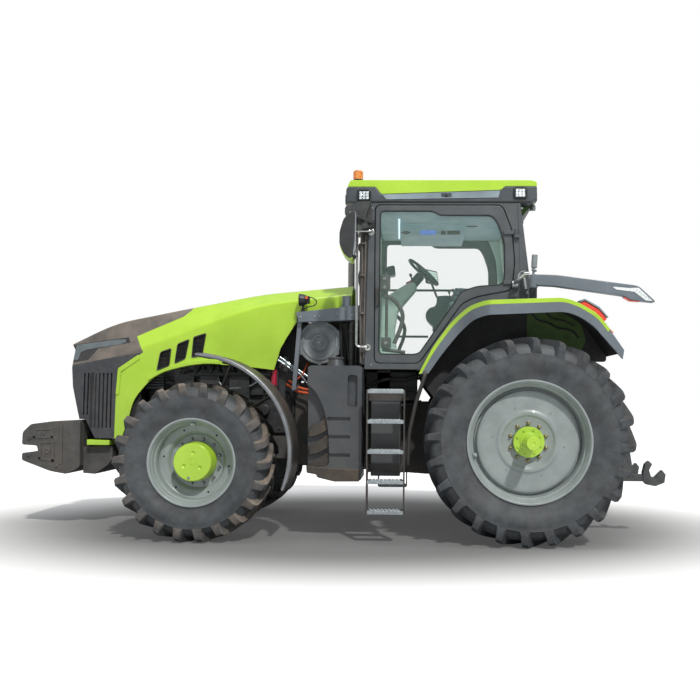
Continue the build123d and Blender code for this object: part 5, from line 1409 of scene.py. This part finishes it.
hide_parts("cab_roof")
for side, name in sides:
    strip = filleted([(1346, 3248), (1308, 3204), (250, 3222), (236, 3286), (790, 3268)], 10)
    recess = filleted([(692, 3224), (790, 3224), (790, 3262), (692, 3262)], 8)
    strip = combined(prism(strip, side * 796, side * 805), prism(recess, side * 790, side * 810),
                     "DIFFERENCE")
    made(f"roof_strip_{name}", strip, [silver_abs], "root", "dark_grey_plastic", edge=3)
    bm = bmesh.new()
    revolved(bm, [(side * -4, 15), (side * 3, 15), (side * 5, 11), (side * 5, 0.1)], at(741, side * 800,
            3243), 24)
    made(f"roof_plug_{name}", bm, [seal_rubber], "root", "black_plastic", crease=40)
    gutter = prism([(1450, 3178), (-50, 3178), (-50, 3190), (1450, 3190)], side * 798, side * 809)
    made(f"roof_gutter_{name}", gutter, [seal_rubber], "root", "black_plastic", edge=3)
bm = bmesh.new()
for k in range(7):
    part = prism([(150 + k * 200, 3384), (220 + k * 200, 3384), (212 + k * 200, 3391), (158 + k * 200,
            3391)], -560, 560)
    joined(bm, part)
made("roof_ribs", bm, [lime_enamel], "root", "lime_paint", edge=3)

# Work lamps: black die-cast housings with nine LED cells under a clear lens, at the roof's
# corners, its front and its back, and one on a stalk on each bonnet beam.
lamp_black = finished("die_cast_black_housing", "202325", 0.4, (40, "1c1f21", "2b2f31"), (3, 0.1),
                      metallic=0.2)
led_cell, tree, shader = surface("led_reflector_cells", "e9efef", 0.15, 0.3, {"Emission Strength": 0.08})
shader.inputs["Emission Color"].default_value = linear("f4fbff")
tree.links.new(blended(tree, noise(tree, 14), "b9c4c8", "e9f0f2"), shader.inputs["Base Color"])
bumped(tree, shader, 8, 0.1)


def cell_lamp(name, centre, out, across, width, height, body="root"):
    """LED work lamp on a face: a rounded housing and three rows of three cells."""
    up = out.cross(across).normalized()
    up = up if up.z > 0 else -up
    bm = bmesh.new()
    frame_line = filleted([(-width / 2, -height / 2), (width / 2, -height / 2), (width / 2, height / 2),
                           (-width / 2, height / 2)], min(width, height) * 0.22, 4)
    loops = []
    for share, depth in ((1, -2), (1, 12), (0.95, 15), (0.8, 15), (0.77, 9), (0.001, 9)):
        loops.append([bm.verts.new(centre + (across * a * share + up * b * share + out * depth) / 1000)
                      for a, b in frame_line])
    skinned(bm, loops)
    made(name, bm, [lamp_black], body, "black_plastic", crease=40)
    bm = bmesh.new()
    for i in (-1, 0, 1):
        for j in (-1, 0, 1):
            spot = centre + (across * i * width * 0.235 + up * j * height * 0.235 + out * 9) / 1000
            rings = []
            for r, depth in ((0.108, 0), (0.106, 3), (0.09, 4), (0.04, 1.5), (0.01, 1.4)):
                ring = []
                for k in range(16):
                    a = 2 * math.pi * k / 16
                    ca, sa = math.cos(a), math.sin(a)
                    reach = r / max(abs(ca), abs(sa)) ** 0.5
                    ring.append(bm.verts.new(spot + (across * ca * reach * width + up * sa * reach * height
                                                     + out * depth) / 1000))
                rings.append(ring)
            skinned(bm, rings)
            bm.faces.new(rings[-1])
    made(name + "_cells", bm, [led_cell], body, "lamp_glass", crease=50)


forwards, left = Vector((1, 0, 0)), Vector((0, 1, 0))
for side, name in sides:
    cell_lamp(f"roof_lamp_front_{name}", at(1518, side * 801, 3241), left * side, forwards, 132, 108)
    cell_lamp(f"roof_lamp_back_{name}", at(46, side * 801, 3266), left * side, forwards, 128, 108)
    for number, y in enumerate((320, 620)):
        cell_lamp(f"front_lamp_{name}_{number + 1}", at(1692, side * y, 3240), forwards, left, 120, 90)
        cell_lamp(f"back_lamp_{name}_{number + 1}", at(-116, side * y, 3267), -forwards, left, 120, 85)
    stalk = prism(filleted([(2106, 2166), (2150, 2162), (2146, 2192), (2110, 2192)], 6), side * 512,
                  side * 548)
    stalk = made(f"stalk_foot_{name}", stalk, [lamp_black], "root", "black_plastic", edge=3)
    if side == 1:
        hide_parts("work_lamps")
    bm = bmesh.new()
    pipe(bm, [(2128, 530, 2180), (2128, 530, 2240)], 10, 1, 20, side=side)
    pipe(bm, [(2128, 530, 2196), (2128, 530, 2206)], 19, 1, 6, side=side)
    shell = [(-44, 0.1), (-44, 30), (-34, 44), (0, 56), (26, 60), (38, 60), (40, 55), (34, 52), (32, 0.1)]
    lamp = bmesh.new()
    revolved(lamp, shell, Vector((0, 0, 0)), 40)
    bmesh.ops.transform(lamp, matrix=Matrix.Translation(at(2128, side * 530, 2286))
                        @ Matrix.Rotation(-math.pi / 2, 4, "Z"), verts=lamp.verts)
    joined(bm, lamp)
    for k in range(5):
        brick(bm, (0.03, 0.004, 0.07), at(2080, side * (530 + (k - 2) * 14), 2286))
    made(f"stalk_lamp_{name}", bm, [lamp_black], "root", "black_plastic", edge=2, crease=40)
    bm = bmesh.new()
    pipe(bm, [(2096, 545, 2300), (2070, 560, 2310), (2020, 566, 2300), (1985, 566, 2265), (2010, 566, 2225),
              (2070, 560, 2216), (2110, 548, 2200)], 5, 40, 10, side=side)
    made(f"stalk_lamp_lead_{name}", bm, [hose_rubber], "root", "black_plastic")
    bm = bmesh.new()
    revolved(bm, [(side * -3, 14), (side * 10, 14), (side * 12, 11), (side * 12, 0.1)], at(2088, side * 583,
            2300), 20)
    made(f"stalk_lamp_marker_{name}", bm, [orange_conduit], "root", "lamp_red", crease=40)

# Beacon: an amber polycarbonate dome on a black rubber foot, on the roof's left front corner.
amber, tree, shader = surface("amber_polycarbonate", "d8772c", 0.15, 0.0, {"Coat Weight": 0.8,
        "Alpha": 0.93, "Emission Strength": 0.12})
shader.inputs["Emission Color"].default_value = linear("ff8a2a")
tree.links.new(blended(tree, noise(tree, 22), "c2622a", "e8a15f"), shader.inputs["Base Color"])
bumped(tree, shader, 9, 0.6, 1)
bm = bmesh.new()
spin = Matrix.Translation(at(1590, 600, 3386)) @ Matrix.Rotation(math.pi / 2, 4, "X")
revolved(bm, [(0, 0.1), (0, 56), (10, 54), (16, 46), (48, 44), (52, 48), (58, 48), (58, 0.1)],
         Vector((0, 0, 0)), 48)
bmesh.ops.transform(bm, matrix=spin, verts=bm.verts)
made("beacon_foot", bm, [seal_rubber], "root", "black_plastic", crease=40)
bm = bmesh.new()
revolved(bm, [(56, 46), (62, 47), (128, 45.5), (132, 47), (138, 46), (143, 40), (145, 25), (146, 0.1)],
         Vector((0, 0, 0)), 48)
for k in range(20):
    rib = bmesh.ops.create_cube(bm, size=1)["verts"]
    bmesh.ops.scale(bm, vec=Vector((0.004, 0.062, 0.003)), verts=rib)
    bmesh.ops.transform(bm, matrix=Matrix.Rotation(2 * math.pi * k / 20, 4, "Y")
                        @ Matrix.Translation(Vector((0.0455, 0.095, 0))), verts=rib)
bmesh.ops.transform(bm, matrix=spin, verts=bm.verts)
made("beacon_dome", bm, [amber], "root", "lamp_red", crease=40)

# Handrails: bent stainless tube beside each door, with flat welded feet.
rail_steel = finished("brushed_stainless_tube", "c3c6c4", 0.22, (40, "b6baba", "d4d5d0"), (12, 0.05),
                      metallic=0.95)
for side, name in sides:
    bm = bmesh.new()
    pipe(bm, [(1446, 800, 2894), (1446, 850, 2894), (1577, 850, 2894), (1577, 850, 1805), (1474, 850, 1805),
              (1474, 800, 1805)], 13, 40, 24, side=side)
    rail = made(f"handrail_{name}", bm, [rail_steel], "root", "steel", crease=40)
    if side == 1:
        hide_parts("handrails")
    bm = bmesh.new()
    for x, z in ((1446, 2894), (1474, 1805)):
        revolved(bm, [(0, 30), (side * 5, 30), (side * 6, 27), (side * 6, 0.1)], at(x, side * 800, z), 24)
    made(f"handrail_feet_{name}", bm, [rail_steel], "root", "steel", crease=40)

# Tail lamps and rear booms: red and amber lenses on the fenders, and grey die-cast arms that
# carry a white lamp strip and a red marker out behind the wheels.
red_lens, tree, shader = surface("red_polycarbonate", "d9402f", 0.12, 0.0, {"Coat Weight": 0.8,
        "Emission Strength": 0.15})
shader.inputs["Emission Color"].default_value = linear("ff3a26")
tree.links.new(blended(tree, noise(tree, 26), "c93527", "e6523f"), shader.inputs["Base Color"])
bumped(tree, shader, 7, 0.5, 1)
white_lens = finished("clear_ribbed_polycarbonate", "e4e9ea", 0.15, (20, "d5dcde", "f4f6f6"), (6, 0.4, 1),
                      settings={"Coat Weight": 0.8})
for side, name in sides:
    lens = prism(filleted([(-428, 2178), (-586, 2086), (-646, 2012), (-676, 2040), (-606, 2122),
                           (-480, 2194)], 10), side * 1004, side * 1196)
    lens = made(f"tail_lamp_{name}", lens, [red_lens], "root", "lamp_red", edge=8, steps=3)
    if side == 1:
        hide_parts("tail_lamps")
    hood_line = filleted([(-440, 2196), (-480, 2208), (-604, 2136), (-680, 2052), (-692, 2056),
                          (-610, 2150), (-480, 2222), (-430, 2206)], 4)
    made(f"tail_lamp_cover_{name}", prism(hood_line, side * 1000, side * 1200), [silver_abs], "root",
         "black_plastic", edge=2)
    for number, (z0, z1, finish) in enumerate(((1968, 2012, white_lens), (1920, 1964, amber))):
        lens = prism(filleted([(-676 - (2012 - z1) * 0.55, z1), (-646 - (2012 - z1) * 0.55, z1),
                               (-640 - (2012 - z0) * 0.62, z0), (-688 - (2012 - z0) * 0.62, z0)], 8),
                     side * 1040, side * 1180)
        made(f"marker_lamp_{name}_{number + 1}", lens, [finish], "root", "lamp_red", edge=5, steps=3)
    boom_line = [(-60, 2464), (-260, 2459), (-997, 2364), (-1150, 2224), (-1141, 2211), (-925, 2232),
                 (-872, 2268), (-243, 2356), (-60, 2364)]
    boom = prism(filleted(boom_line, 40), side * 962, side * 1038)
    boom = made(f"boom_{name}", boom, [powder_grey], "root", "cab_paint", edge=12, crease=28, steps=4)
    if side == 1:
        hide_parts("lamp_booms")
    strip = filleted([(-764, 2353), (-909, 2340), (-1000, 2343), (-1126, 2222), (-1061, 2229), (-961, 2306),
                      (-796, 2326)], 8)
    strip = prism(strip, side * 1030, side * 1041)
    made(f"boom_lamp_{name}", strip, [white_lens], "root", "lamp_glass", edge=3)
    bm = bmesh.new()
    for k in range(6):
        x, z = -984 - 21 * k, 2322 - 15 * k
        revolved(bm, [(0, 9), (side * 3, 9), (side * 4, 6), (side * 3, 0.1)], at(x, side * 1039, z), 16)
    made(f"boom_lamp_cells_{name}", bm, [led_cell], "root", "lamp_glass", crease=40)
    marker = prism(filleted([(-876, 2268), (-925, 2233), (-1010, 2224), (-1010, 2216), (-925, 2222),
                             (-866, 2256)], 4), side * 975, side * 1025)
    made(f"boom_marker_{name}", marker, [red_lens], "root", "lamp_red", edge=2)
    bm = bmesh.new()
    pipe(bm, [(-55, 1000, 2344), (-55, 1000, 2464)], 38, 1, 40, side=side)
    pipe(bm, [(-55, 1000, 2336), (-55, 1000, 2346)], 33, 1, 40, side=side)
    made(f"boom_socket_{name}", bm, [powder_grey], "root", "cab_paint", edge=4, crease=40)
    bm = bmesh.new()
    pipe(bm, [(-52, 1000, 2205), (-52, 1000, 2340)], 34, 1, 32, side=side)
    pipe(bm, [(-52, 1000, 2212), (-52, 1000, 2236)], 50, 1, 32, side=side)
    pipe(bm, [(-60, 1040, 2212), (-60, 1040, 2330)], 9, 1, 16, side=side)
    pipe(bm, [(10, 985, 2205), (10, 985, 2336)], 13, 1, 20, side=side)
    made(f"boom_post_{name}", bm, [lamp_black], "root", "steel", edge=3, crease=40)
    bm = bmesh.new()
    pipe(bm, [(-20, 990, 2470), (20, 985, 2478), (60, 960, 2440), (95, 900, 2415), (100, 805, 2400)], 19,
         30, side=side)
    pipe(bm, [(70, 830, 2400), (120, 830, 2400)], 38, 1, 24, side=side)
    pipe(bm, [(40, 955, 2440), (30, 960, 2470), (10, 985, 2330), (8, 985, 2290)], 13, 20, side=side)
    pipe(bm, [(75, 900, 2440), (60, 930, 2500), (20, 960, 2505)], 11, 30, side=side)
    made(f"boom_bracket_{name}", bm, [rail_steel], "root", "steel", crease=40)
    bm = bmesh.new()
    pipe(bm, [(-55, 985, 2460), (-55, 985, 2530)], 12, 1, 16, side=side)
    pipe(bm, [(-58, 985, 2500), (-64, 985, 2516)], 26, 1, 28, side=side)
    pipe(bm, [(-60, 985, 2528), (-66, 985, 2650)], 27, 1, 28, side=side)
    made(f"boom_camera_{name}", bm, [canister], "root", "black_plastic", edge=6, crease=40)

# Mirrors: black moulded shells on bent arms, lime along the lower edge, glass to the rear.
mirror_shell = finished("grained_black_mirror_shell", "2e3132", 0.42, (90, "2a2d2e", "37393a"), (3, 0.15))
silvered = finished("silvered_mirror_glass", "dfe5e8", 0.02, (300, "d9e0e3", "e6ebed"), (200, 0.05),
                    metallic=1.0)
for side, name in sides:
    outline = filleted([(1560, 2986), (1592, 2984), (1668, 2920), (1704, 2800), (1704, 2690), (1676, 2610),
                        (1626, 2564), (1590, 2556), (1566, 2700)], 30, 8)
    head = prism(outline, side * 1010, side * 1260)
    head = made(f"mirror_head_{name}", head, [mirror_shell], "root", "black_plastic", edge=26, crease=30,
                steps=6)
    if side == 1:
        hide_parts("mirrors")
    lower = combined(prism(widened(outline, 2), side * 1012, side * 1258), prism([(x - 8, z + 16) for x,
            z in widened(outline, 2)], side * 990, side * 1280), "DIFFERENCE")
    lower = combined(lower, prism([(1500, 2590), (1590, 2590), (1800, 2760), (1800, 3100), (1500, 3100)],
                                  side * 900, side * 1300), "DIFFERENCE")
    made(f"mirror_edge_{name}", lower, [lime_enamel], "root", "lime_paint", edge=3, crease=30, steps=2)
    rim = prism(filleted([(1556, 2972), (1566, 2972), (1582, 2600), (1570, 2590), (1557, 2700)], 4),
                side * 1013, side * 1257)
    made(f"mirror_rim_{name}", rim, [silvered], "root", "tinted_glass", edge=2)
    bm = bmesh.new()
    face_line = filleted([(1038, 2585), (1232, 2585), (1232, 2958), (1038, 2958)], 34)
    near = [bm.verts.new(at(1556, side * y, z)) for y, z in face_line]
    far = [bm.verts.new(at(1562, side * y, z)) for y, z in face_line]
    bm.faces.new(near)
    for i in range(len(near)):
        j = (i + 1) % len(near)
        bm.faces.new((near[i], near[j], far[j], far[i]))
    made(f"mirror_glass_{name}", bm, [silvered], "root", "tinted_glass", crease=30)
    bm = bmesh.new()
    pipe(bm, [(1444, 800, 2970), (1450, 850, 2970), (1600, 1000, 3010), (1630, 1100, 3010), (1630, 1110,
            2955)], 16, 40, 20, side=side)
    pipe(bm, [(1440, 798, 2940), (1440, 798, 3000)], 24, 1, 20, side=side)
    pipe(bm, [(1450, 800, 3060), (1500, 860, 3040), (1560, 950, 3010)], 11, 40, 16, side=side)
    made(f"mirror_arm_{name}", bm, [mirror_shell], "root", "black_plastic", crease=40)


# Headlining: a pale moulded panel under the roof with a low housing that holds a small display,
# keys, a knob and an air outlet. A lamp strip crosses it at the front.
cool_lining = finished("blue_grey_headlining", "a3c0cc", 0.55, (240, "96b6c4", "b4cdd6"), (3, 0.2))
lit_display, tree, shader = surface("backlit_display_glass", "28417e", 0.12, 0.0, {"Emission Strength": 0.8})
cells = add(tree, "ShaderNodeTexBrick", {"Scale": 22, "Mortar Size": 0.03, "Color1": linear("5f86d8"),
                                         "Color2": linear("3d62b8"), "Mortar": linear("20336a")},
            {"Vector": add(tree, "ShaderNodeTexCoord").outputs["Object"]})
tree.links.new(cells.outputs["Color"], shader.inputs["Base Color"])
tree.links.new(cells.outputs["Color"], shader.inputs["Emission Color"])
strip_light, tree, shader = surface("opal_lamp_strip", "e8f6ff", 0.3, 0.0, {"Emission Strength": 0.9})
shader.inputs["Emission Color"].default_value = linear("d8f0ff")
tree.links.new(blended(tree, noise(tree, 50), "dceffb", "f4fbff"), shader.inputs["Base Color"])
ceiling = slab([(80, -745), (1405, -745), (1405, 745), (80, 745)], 3128, 3172)
made("headlining", ceiling, [cool_lining], "root", "dark_grey_plastic", edge=20, steps=4)
outline = filleted([(150, 3132), (60, 3080), (-40, 3050), (-560, 3040), (-700, 3060), (-745, 3132)], 40)
housing = drawn([[(x, y, z) for y, z in outline] for x in (511, 1191)])
made("overhead_housing", housing, [cool_lining], "root", "dark_grey_plastic", edge=16, steps=4)


def on_housing(x, y, out):
    """A place in millimetres on the housing's near slope, out of its face."""
    slope = Vector((0, 100, 30)).normalized()
    return tuple(Vector((x, y, 3050 + (y + 40) * 0.3)) + Vector((0, slope.z, -slope.y)) * -out)


for x0, x1, y0, y1, finish, name in ((816, 980, -30, 48, lit_display, "display"), (716, 766, -26, 44, nylon,
        "switches"), (566, 700, -26, 44, nylon, "keys")):
    corners = filleted([(x0, y0), (x1, y0), (x1, y1), (x0, y1)], 10)
    face = drawn([[on_housing(x, y, -6) for x, y in corners], [on_housing(x, y, 5) for x, y in corners]])
    made(f"overhead_{name}", face, [finish], "root", "black_plastic", edge=2)
for x0, x1, name in ((380, 500, "rear"), (1085, 1180, "front")):
    lens_line = [(x0 + (x1 - x0) * t / 12, 26 * math.sin(math.pi * t / 12)) for t in range(13)]
    lens_line += [(x, -y) for x, y in lens_line[-2:0:-1]]
    low_z = 3128 if x0 < 500 else None
    rows = [[(x, 20 + y, low_z + out) if low_z else on_housing(x, 10 + y, -out) for x, y in lens_line]
            for out in (6, -6)]
    made(f"overhead_outlet_{name}", drawn(rows), [nylon], "root", "black_plastic", edge=2)
bm = bmesh.new()
for x, y in ((792, 8), (590, 8), (634, 8), (678, 8), (741, 10)):
    pipe(bm, [on_housing(x, y, -2), on_housing(x, y, 14)], 14 if x > 790 else 7, 1, 18)
made("overhead_knobs", bm, [silver_abs], "root", "black_plastic", crease=40)
bm = bmesh.new()
pipe(bm, [(1194, 350, 3122), (1213, -570, 3122)], 9, 80, 16)
made("overhead_lamp_strip", bm, [strip_light], "root", "lamp_glass")
bm = bmesh.new()
pipe(bm, [(1405, -560, 2790), (1330, -560, 2760)], 10, 1, 16)
joined(bm, prism(filleted([(1250, 2700), (1345, 2690), (1350, 2790), (1262, 2810)], 26), -640, -480))
made("inner_camera", bm, [lamp_black], "root", "black_plastic", edge=8, steps=3, crease=40)

# Steering column: a pale moulded cowl on the cab floor, black round the shaft, with a lever
# on each side and a red rocker switch. The wheel is a steel ring moulded in soft black grip.
cowl = finished("pale_grey_green_moulded_cowl", "a9c2b7", 0.5, (160, "a0baae", "b6cdc3"), (3, 0.15))
grip = finished("soft_black_moulded_grip", "343c42", 0.5, (60, "2f373d", "414a50"), (2, 0.25))
outline = filleted([(1000, 2480), (1052, 2548), (1150, 2500), (1300, 2400), (1380, 2380), (1400, 1650),
                    (1200, 1650), (1240, 2040), (1210, 2230)], 40)
column = made("column_cowl", prism(outline, -95, 95), [cowl], "root", "dark_grey_plastic", edge=24, steps=4)
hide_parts("steering_column")
tilt = math.radians(40.5)
spin_axis = Vector((-math.sin(tilt), 0, math.cos(tilt)))


def along_column(t, side=0, across=0):
    """A place in millimetres on the steering shaft, t above the wheel's middle."""
    forwards = Vector((math.cos(tilt), 0, math.sin(tilt)))
    place = Vector((945, 0, 2648)) + spin_axis * t + Vector((0, side, 0)) + forwards * across
    return tuple(place)


bm = bmesh.new()
pipe(bm, [along_column(-190), along_column(-44)], 50, 1, 40)
pipe(bm, [along_column(-44), along_column(8)], 14, 1, 20)
pipe(bm, [along_column(-150, 30, 20), along_column(-130, 150, 60)], 8, 1, 14)
pipe(bm, [along_column(-130, 150, 60), along_column(-126, 176, 70)], 15, 1, 18)
pipe(bm, [along_column(-150, -30, 20), along_column(-140, -170, 50)], 8, 1, 14)
made("column_shaft", bm, [grip], "root", "black_plastic", edge=3, crease=40)
bm = prism(filleted([(1060, 2536), (1120, 2512), (1128, 2532), (1068, 2556)], 6), 40, 70)
made("column_switch", bm, [red_enamel], "root", "black_plastic", edge=4)
bm = prism(filleted([(1226, 2220), (1250, 2040), (1268, 2044), (1244, 2222)], 6), 60, 88)
made("column_pedal_arm", bm, [lamp_black], "root", "black_plastic", edge=3)
bm = bmesh.new()
ring = []
for k in range(64):
    a = 2 * math.pi * k / 64
    hub = Vector(along_column(0, 190 * math.sin(a), 190 * math.cos(a)))
    out = (hub - Vector(along_column(0))).normalized()
    loop = []
    for j in range(14):
        b = 2 * math.pi * j / 14
        grooves = 15 + (0.7 if j in (2, 5) else 0)
        place = hub + (out * math.cos(b) + spin_axis * math.sin(b)) * grooves
        loop.append(bm.verts.new(at(*place)))
    ring.append(loop)
for k in range(64):
    for j in range(14):
        i = (j + 1) % 14
        bm.faces.new((ring[k][j], ring[k][i], ring[(k + 1) % 64][i], ring[(k + 1) % 64][j]))
for k in range(3):
    a = math.pi / 2 + 2 * math.pi * k / 3 + math.pi / 2
    inner = along_column(2, 38 * math.sin(a), 38 * math.cos(a))
    middle = along_column(-10, 110 * math.sin(a), 110 * math.cos(a))
    outer = along_column(-2, 184 * math.sin(a), 184 * math.cos(a))
    pipe(bm, [inner, middle, outer], 12, 60, 14)
pipe(bm, [along_column(-26), along_column(14)], 52, 1, 40)
pipe(bm, [along_column(12), along_column(22)], 40, 1, 40)
wheel = made("steering_wheel_ring", bm, [grip], "steering_wheel", "black_plastic", edge=3, crease=40)
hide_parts("steering_wheel")
bm = bmesh.new()
pipe(bm, [along_column(22), along_column(25)], 26, 1, 32)
made("steering_wheel_cap", bm, [silver_abs], "steering_wheel", "black_plastic", edge=2, crease=40)

# Right-hand console: a dark moulded armrest housing with a curved front, levers on top and a
# touch display on a stalk, turned towards the driver.
slate_abs = finished("slate_moulded_console", "46545b", 0.5, (160, "404e55", "516068"), (3, 0.2))
screen_glass, tree, shader = surface("lit_screen_glass", "d8f0e4", 0.1, 0.0, {"Emission Strength": 0.5})
place = add(tree, "ShaderNodeTexCoord").outputs["Object"]
rows = add(tree, "ShaderNodeTexWave", {"Scale": 11, "bands_direction": "Z", "Distortion": 0.0},
           {"Vector": place})
bands = add(tree, "ShaderNodeMapRange", {"From Min": 0.75, "From Max": 0.85}, {"Value": rows.outputs["Fac"]})
picture = blended(tree, bands.outputs["Result"], "e6f5ee", "8fc4a8")
tree.links.new(picture, shader.inputs["Base Color"])
tree.links.new(picture, shader.inputs["Emission Color"])
outline = filleted([(330, 2440), (700, 2462), (794, 2455), (789, 2398), (811, 2342), (872, 2326),
                    (915, 2269), (909, 2213), (880, 2166), (831, 2128), (839, 2076), (700, 1980),
                    (600, 1652), (380, 1652)], 26)
console = made("console_housing", prism(outline, -560, -385), [slate_abs], "root", "dark_grey_plastic",
               edge=14, steps=3)
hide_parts("side_console")
bm = bmesh.new()
for x, y, high in ((520, -430, 70), (600, -430, 60), (560, -500, 80), (640, -510, 50)):
    pipe(bm, [(x, y, 2440), (x + 12, y, 2455 + high)], 6, 1, 14)
    pipe(bm, [(x + 12, y, 2450 + high), (x + 15, y, 2478 + high)], 14, 1, 20)
pipe(bm, [(790, -400, 2440), (838, -400, 2560), (850, -398, 2600)], 12, 30, 16)
made("console_levers", bm, [grip], "root", "black_plastic", edge=2, crease=40)
turn = math.radians(52)
side_way = Vector((math.cos(turn), math.sin(turn), 0)) * -1
face_way = Vector((-math.sin(turn), math.cos(turn), 0))


def on_screen(a, b, out):
    """A place in millimetres on the display: across, up and out of its face."""
    lean = Vector((0, 0, 1)) - face_way * 0.18
    return tuple(Vector((852, -395, 2660)) + side_way * a + lean * b + face_way * out)


for name, wide, high, near, far, finish in (("case", 104, 78, -16, 12, lamp_black), ("glass", 92, 66, 8,
        13.5, screen_glass)):
    corners = filleted([(-wide, -high), (wide, -high), (wide, high), (-wide, high)], 14)
    block = drawn([[on_screen(a, b, near) for a, b in corners], [on_screen(a, b, far) for a, b in corners]])
    made(f"touch_display_{name}", block, [finish], "root", "black_plastic", edge=3)

# Driver's seat: foam cushions in a dark woven cover with piped edges, on a sprung box frame
# behind a rubber bellows.
seat_cloth, tree, shader = surface("woven_seat_cloth", "4c5d67", 0.9, 0.0, {"Sheen Weight": 0.3})
place = add(tree, "ShaderNodeTexCoord").outputs["Object"]
# threads of 6 mm, three times as coarse as the real cloth so that they show
threads = [add(tree, "ShaderNodeTexWave", {"Scale": 1000 / 6 / 20, "bands_direction": way},
               {"Vector": place}) for way in ("X", "Y")]
weave = add(tree, "ShaderNodeMath", {"operation": "MULTIPLY"}, {0: threads[0].outputs["Fac"],
                                                                1: threads[1].outputs["Fac"]})
tree.links.new(blended(tree, weave.outputs[0], blended(tree, noise(tree, 120), "43535c", "52646e"),
                       "6c7f8a"), shader.inputs["Base Color"])
relief = add(tree, "ShaderNodeBump", {"Distance": 0.001, "Strength": 0.6}, {"Height": weave.outputs[0]})
tree.links.new(relief.outputs["Normal"], shader.inputs["Normal"])


def cushion(name, low, high, cap, pressure):
    """Foam pad between two corners in millimetres: remeshed, swelled as cloth, its swelling capped."""
    bm = bmesh.new()
    bmesh.ops.create_cube(bm, size=1)
    size = Vector(high) - Vector(low)
    middle = (Vector(high) + Vector(low)) / 2
    bmesh.ops.scale(bm, vec=size / 1000 - Vector((cap, cap, cap)) * 0.0012, verts=bm.verts)
    bmesh.ops.translate(bm, vec=at(*middle), verts=bm.verts)
    bmesh.ops.bevel(bm, geom=bm.edges, offset=0.03, segments=4, affect="EDGES", profile=0.6)
    pad = made(name, bm, [seat_cloth], "root", "seat_fabric")
    even = pad.modifiers.new("even", "REMESH")
    even.mode = "VOXEL"
    even.voxel_size = 0.006
    settle(pad)
    start = [v.co.copy() for v in pad.data.vertices]
    swell = pad.modifiers.new("swell", "CLOTH")
    swell.settings.use_pressure = True
    swell.settings.uniform_pressure_force = pressure
    swell.settings.effector_weights.gravity = 0
    for step in range(1, 21):
        scene.frame_set(step)
    settle(pad)
    for vertex, was in zip(pad.data.vertices, start):
        moved = vertex.co - was
        if moved.length > cap / 1000:
            vertex.co = was + moved.normalized() * cap / 1000
    scene.frame_set(1)
    smooth = pad.modifiers.new("smooth", "SUBSURF")
    smooth.levels = smooth.render_levels = 1
    settle(pad)
    pad.data.shade_smooth()
    return pad


seat = cushion("seat_cushion", (332, -248, 2190), (700, 248, 2318), 12, 4)
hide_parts("seat_cushions")
cushion("seat_upper_cushion", (342, -238, 2324), (648, 238, 2453), 12, 4)
bm = bmesh.new()
for x0, x1, y, z in ((334, 698, 246, 2254), (344, 646, 236, 2388)):
    corner = filleted([(x0, -y), (x1, -y), (x1, y), (x0, y)], 40)
    pipe(bm, [(a, b, z) for a, b in corner + corner[:1]], 4, 1, 10)
made("seat_piping", bm, [grip], "root", "seat_fabric")
rings = []
for k in range(17):
    share = k / 16
    bulge = 12 if k % 2 else -6
    line = filleted([(390 - bulge, -140 - bulge), (630 + bulge, -140 - bulge), (630 + bulge, 140 + bulge),
                     (390 - bulge, 140 + bulge)], 36)
    rings.append([(x, y, 1652 + 524 * share) for x, y in line])
bellows = made("seat_bellows", drawn(rings), [seal_rubber], "root", "dark_grey_plastic", crease=25)
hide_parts("seat_pedestal")
frame_plate = slab(filleted([(350, -220), (680, -220), (680, 220), (350, 220)], 40), 2176, 2192)
made("seat_frame_plate", frame_plate, [lamp_black], "root", "dark_grey_plastic", edge=4)

# Rear hitch: cast and forged steel, painted black, with plated pins and an oily bright drive
# shaft. The lower links end in open hooks.
forged = finished("black_painted_forging", "45494c", 0.5, (60, "3d4144", "53585b"), (7, 0.5), ("71665a",
        0.35, 110, 0.5), metallic=0.3)
for node in ("rear_hitch", "lower_links", "lift_arms", "lift_rods"):
    eased(node, [forged], "steel", 4)
bm = bmesh.new()
pipe(bm, [(-476, 0, 790), (-566, 0, 790)], 16.8, 1, 42)
made("drive_shaft_sleeve", bm, [ground_steel], "root", "steel", edge=1, crease=40)
for side, name in sides:
    bm = bmesh.new()
    pipe(bm, [(-820, 395, 650), (-820, 395, 1140)], 27, 1, 28, side=side)
    pipe(bm, [(-820, 395, 800), (-820, 395, 980)], 36, 1, 28, side=side)
    made(f"lift_rod_turnbuckle_{name}", bm, [ground_steel], "lift_rods", "steel", edge=2, crease=40)
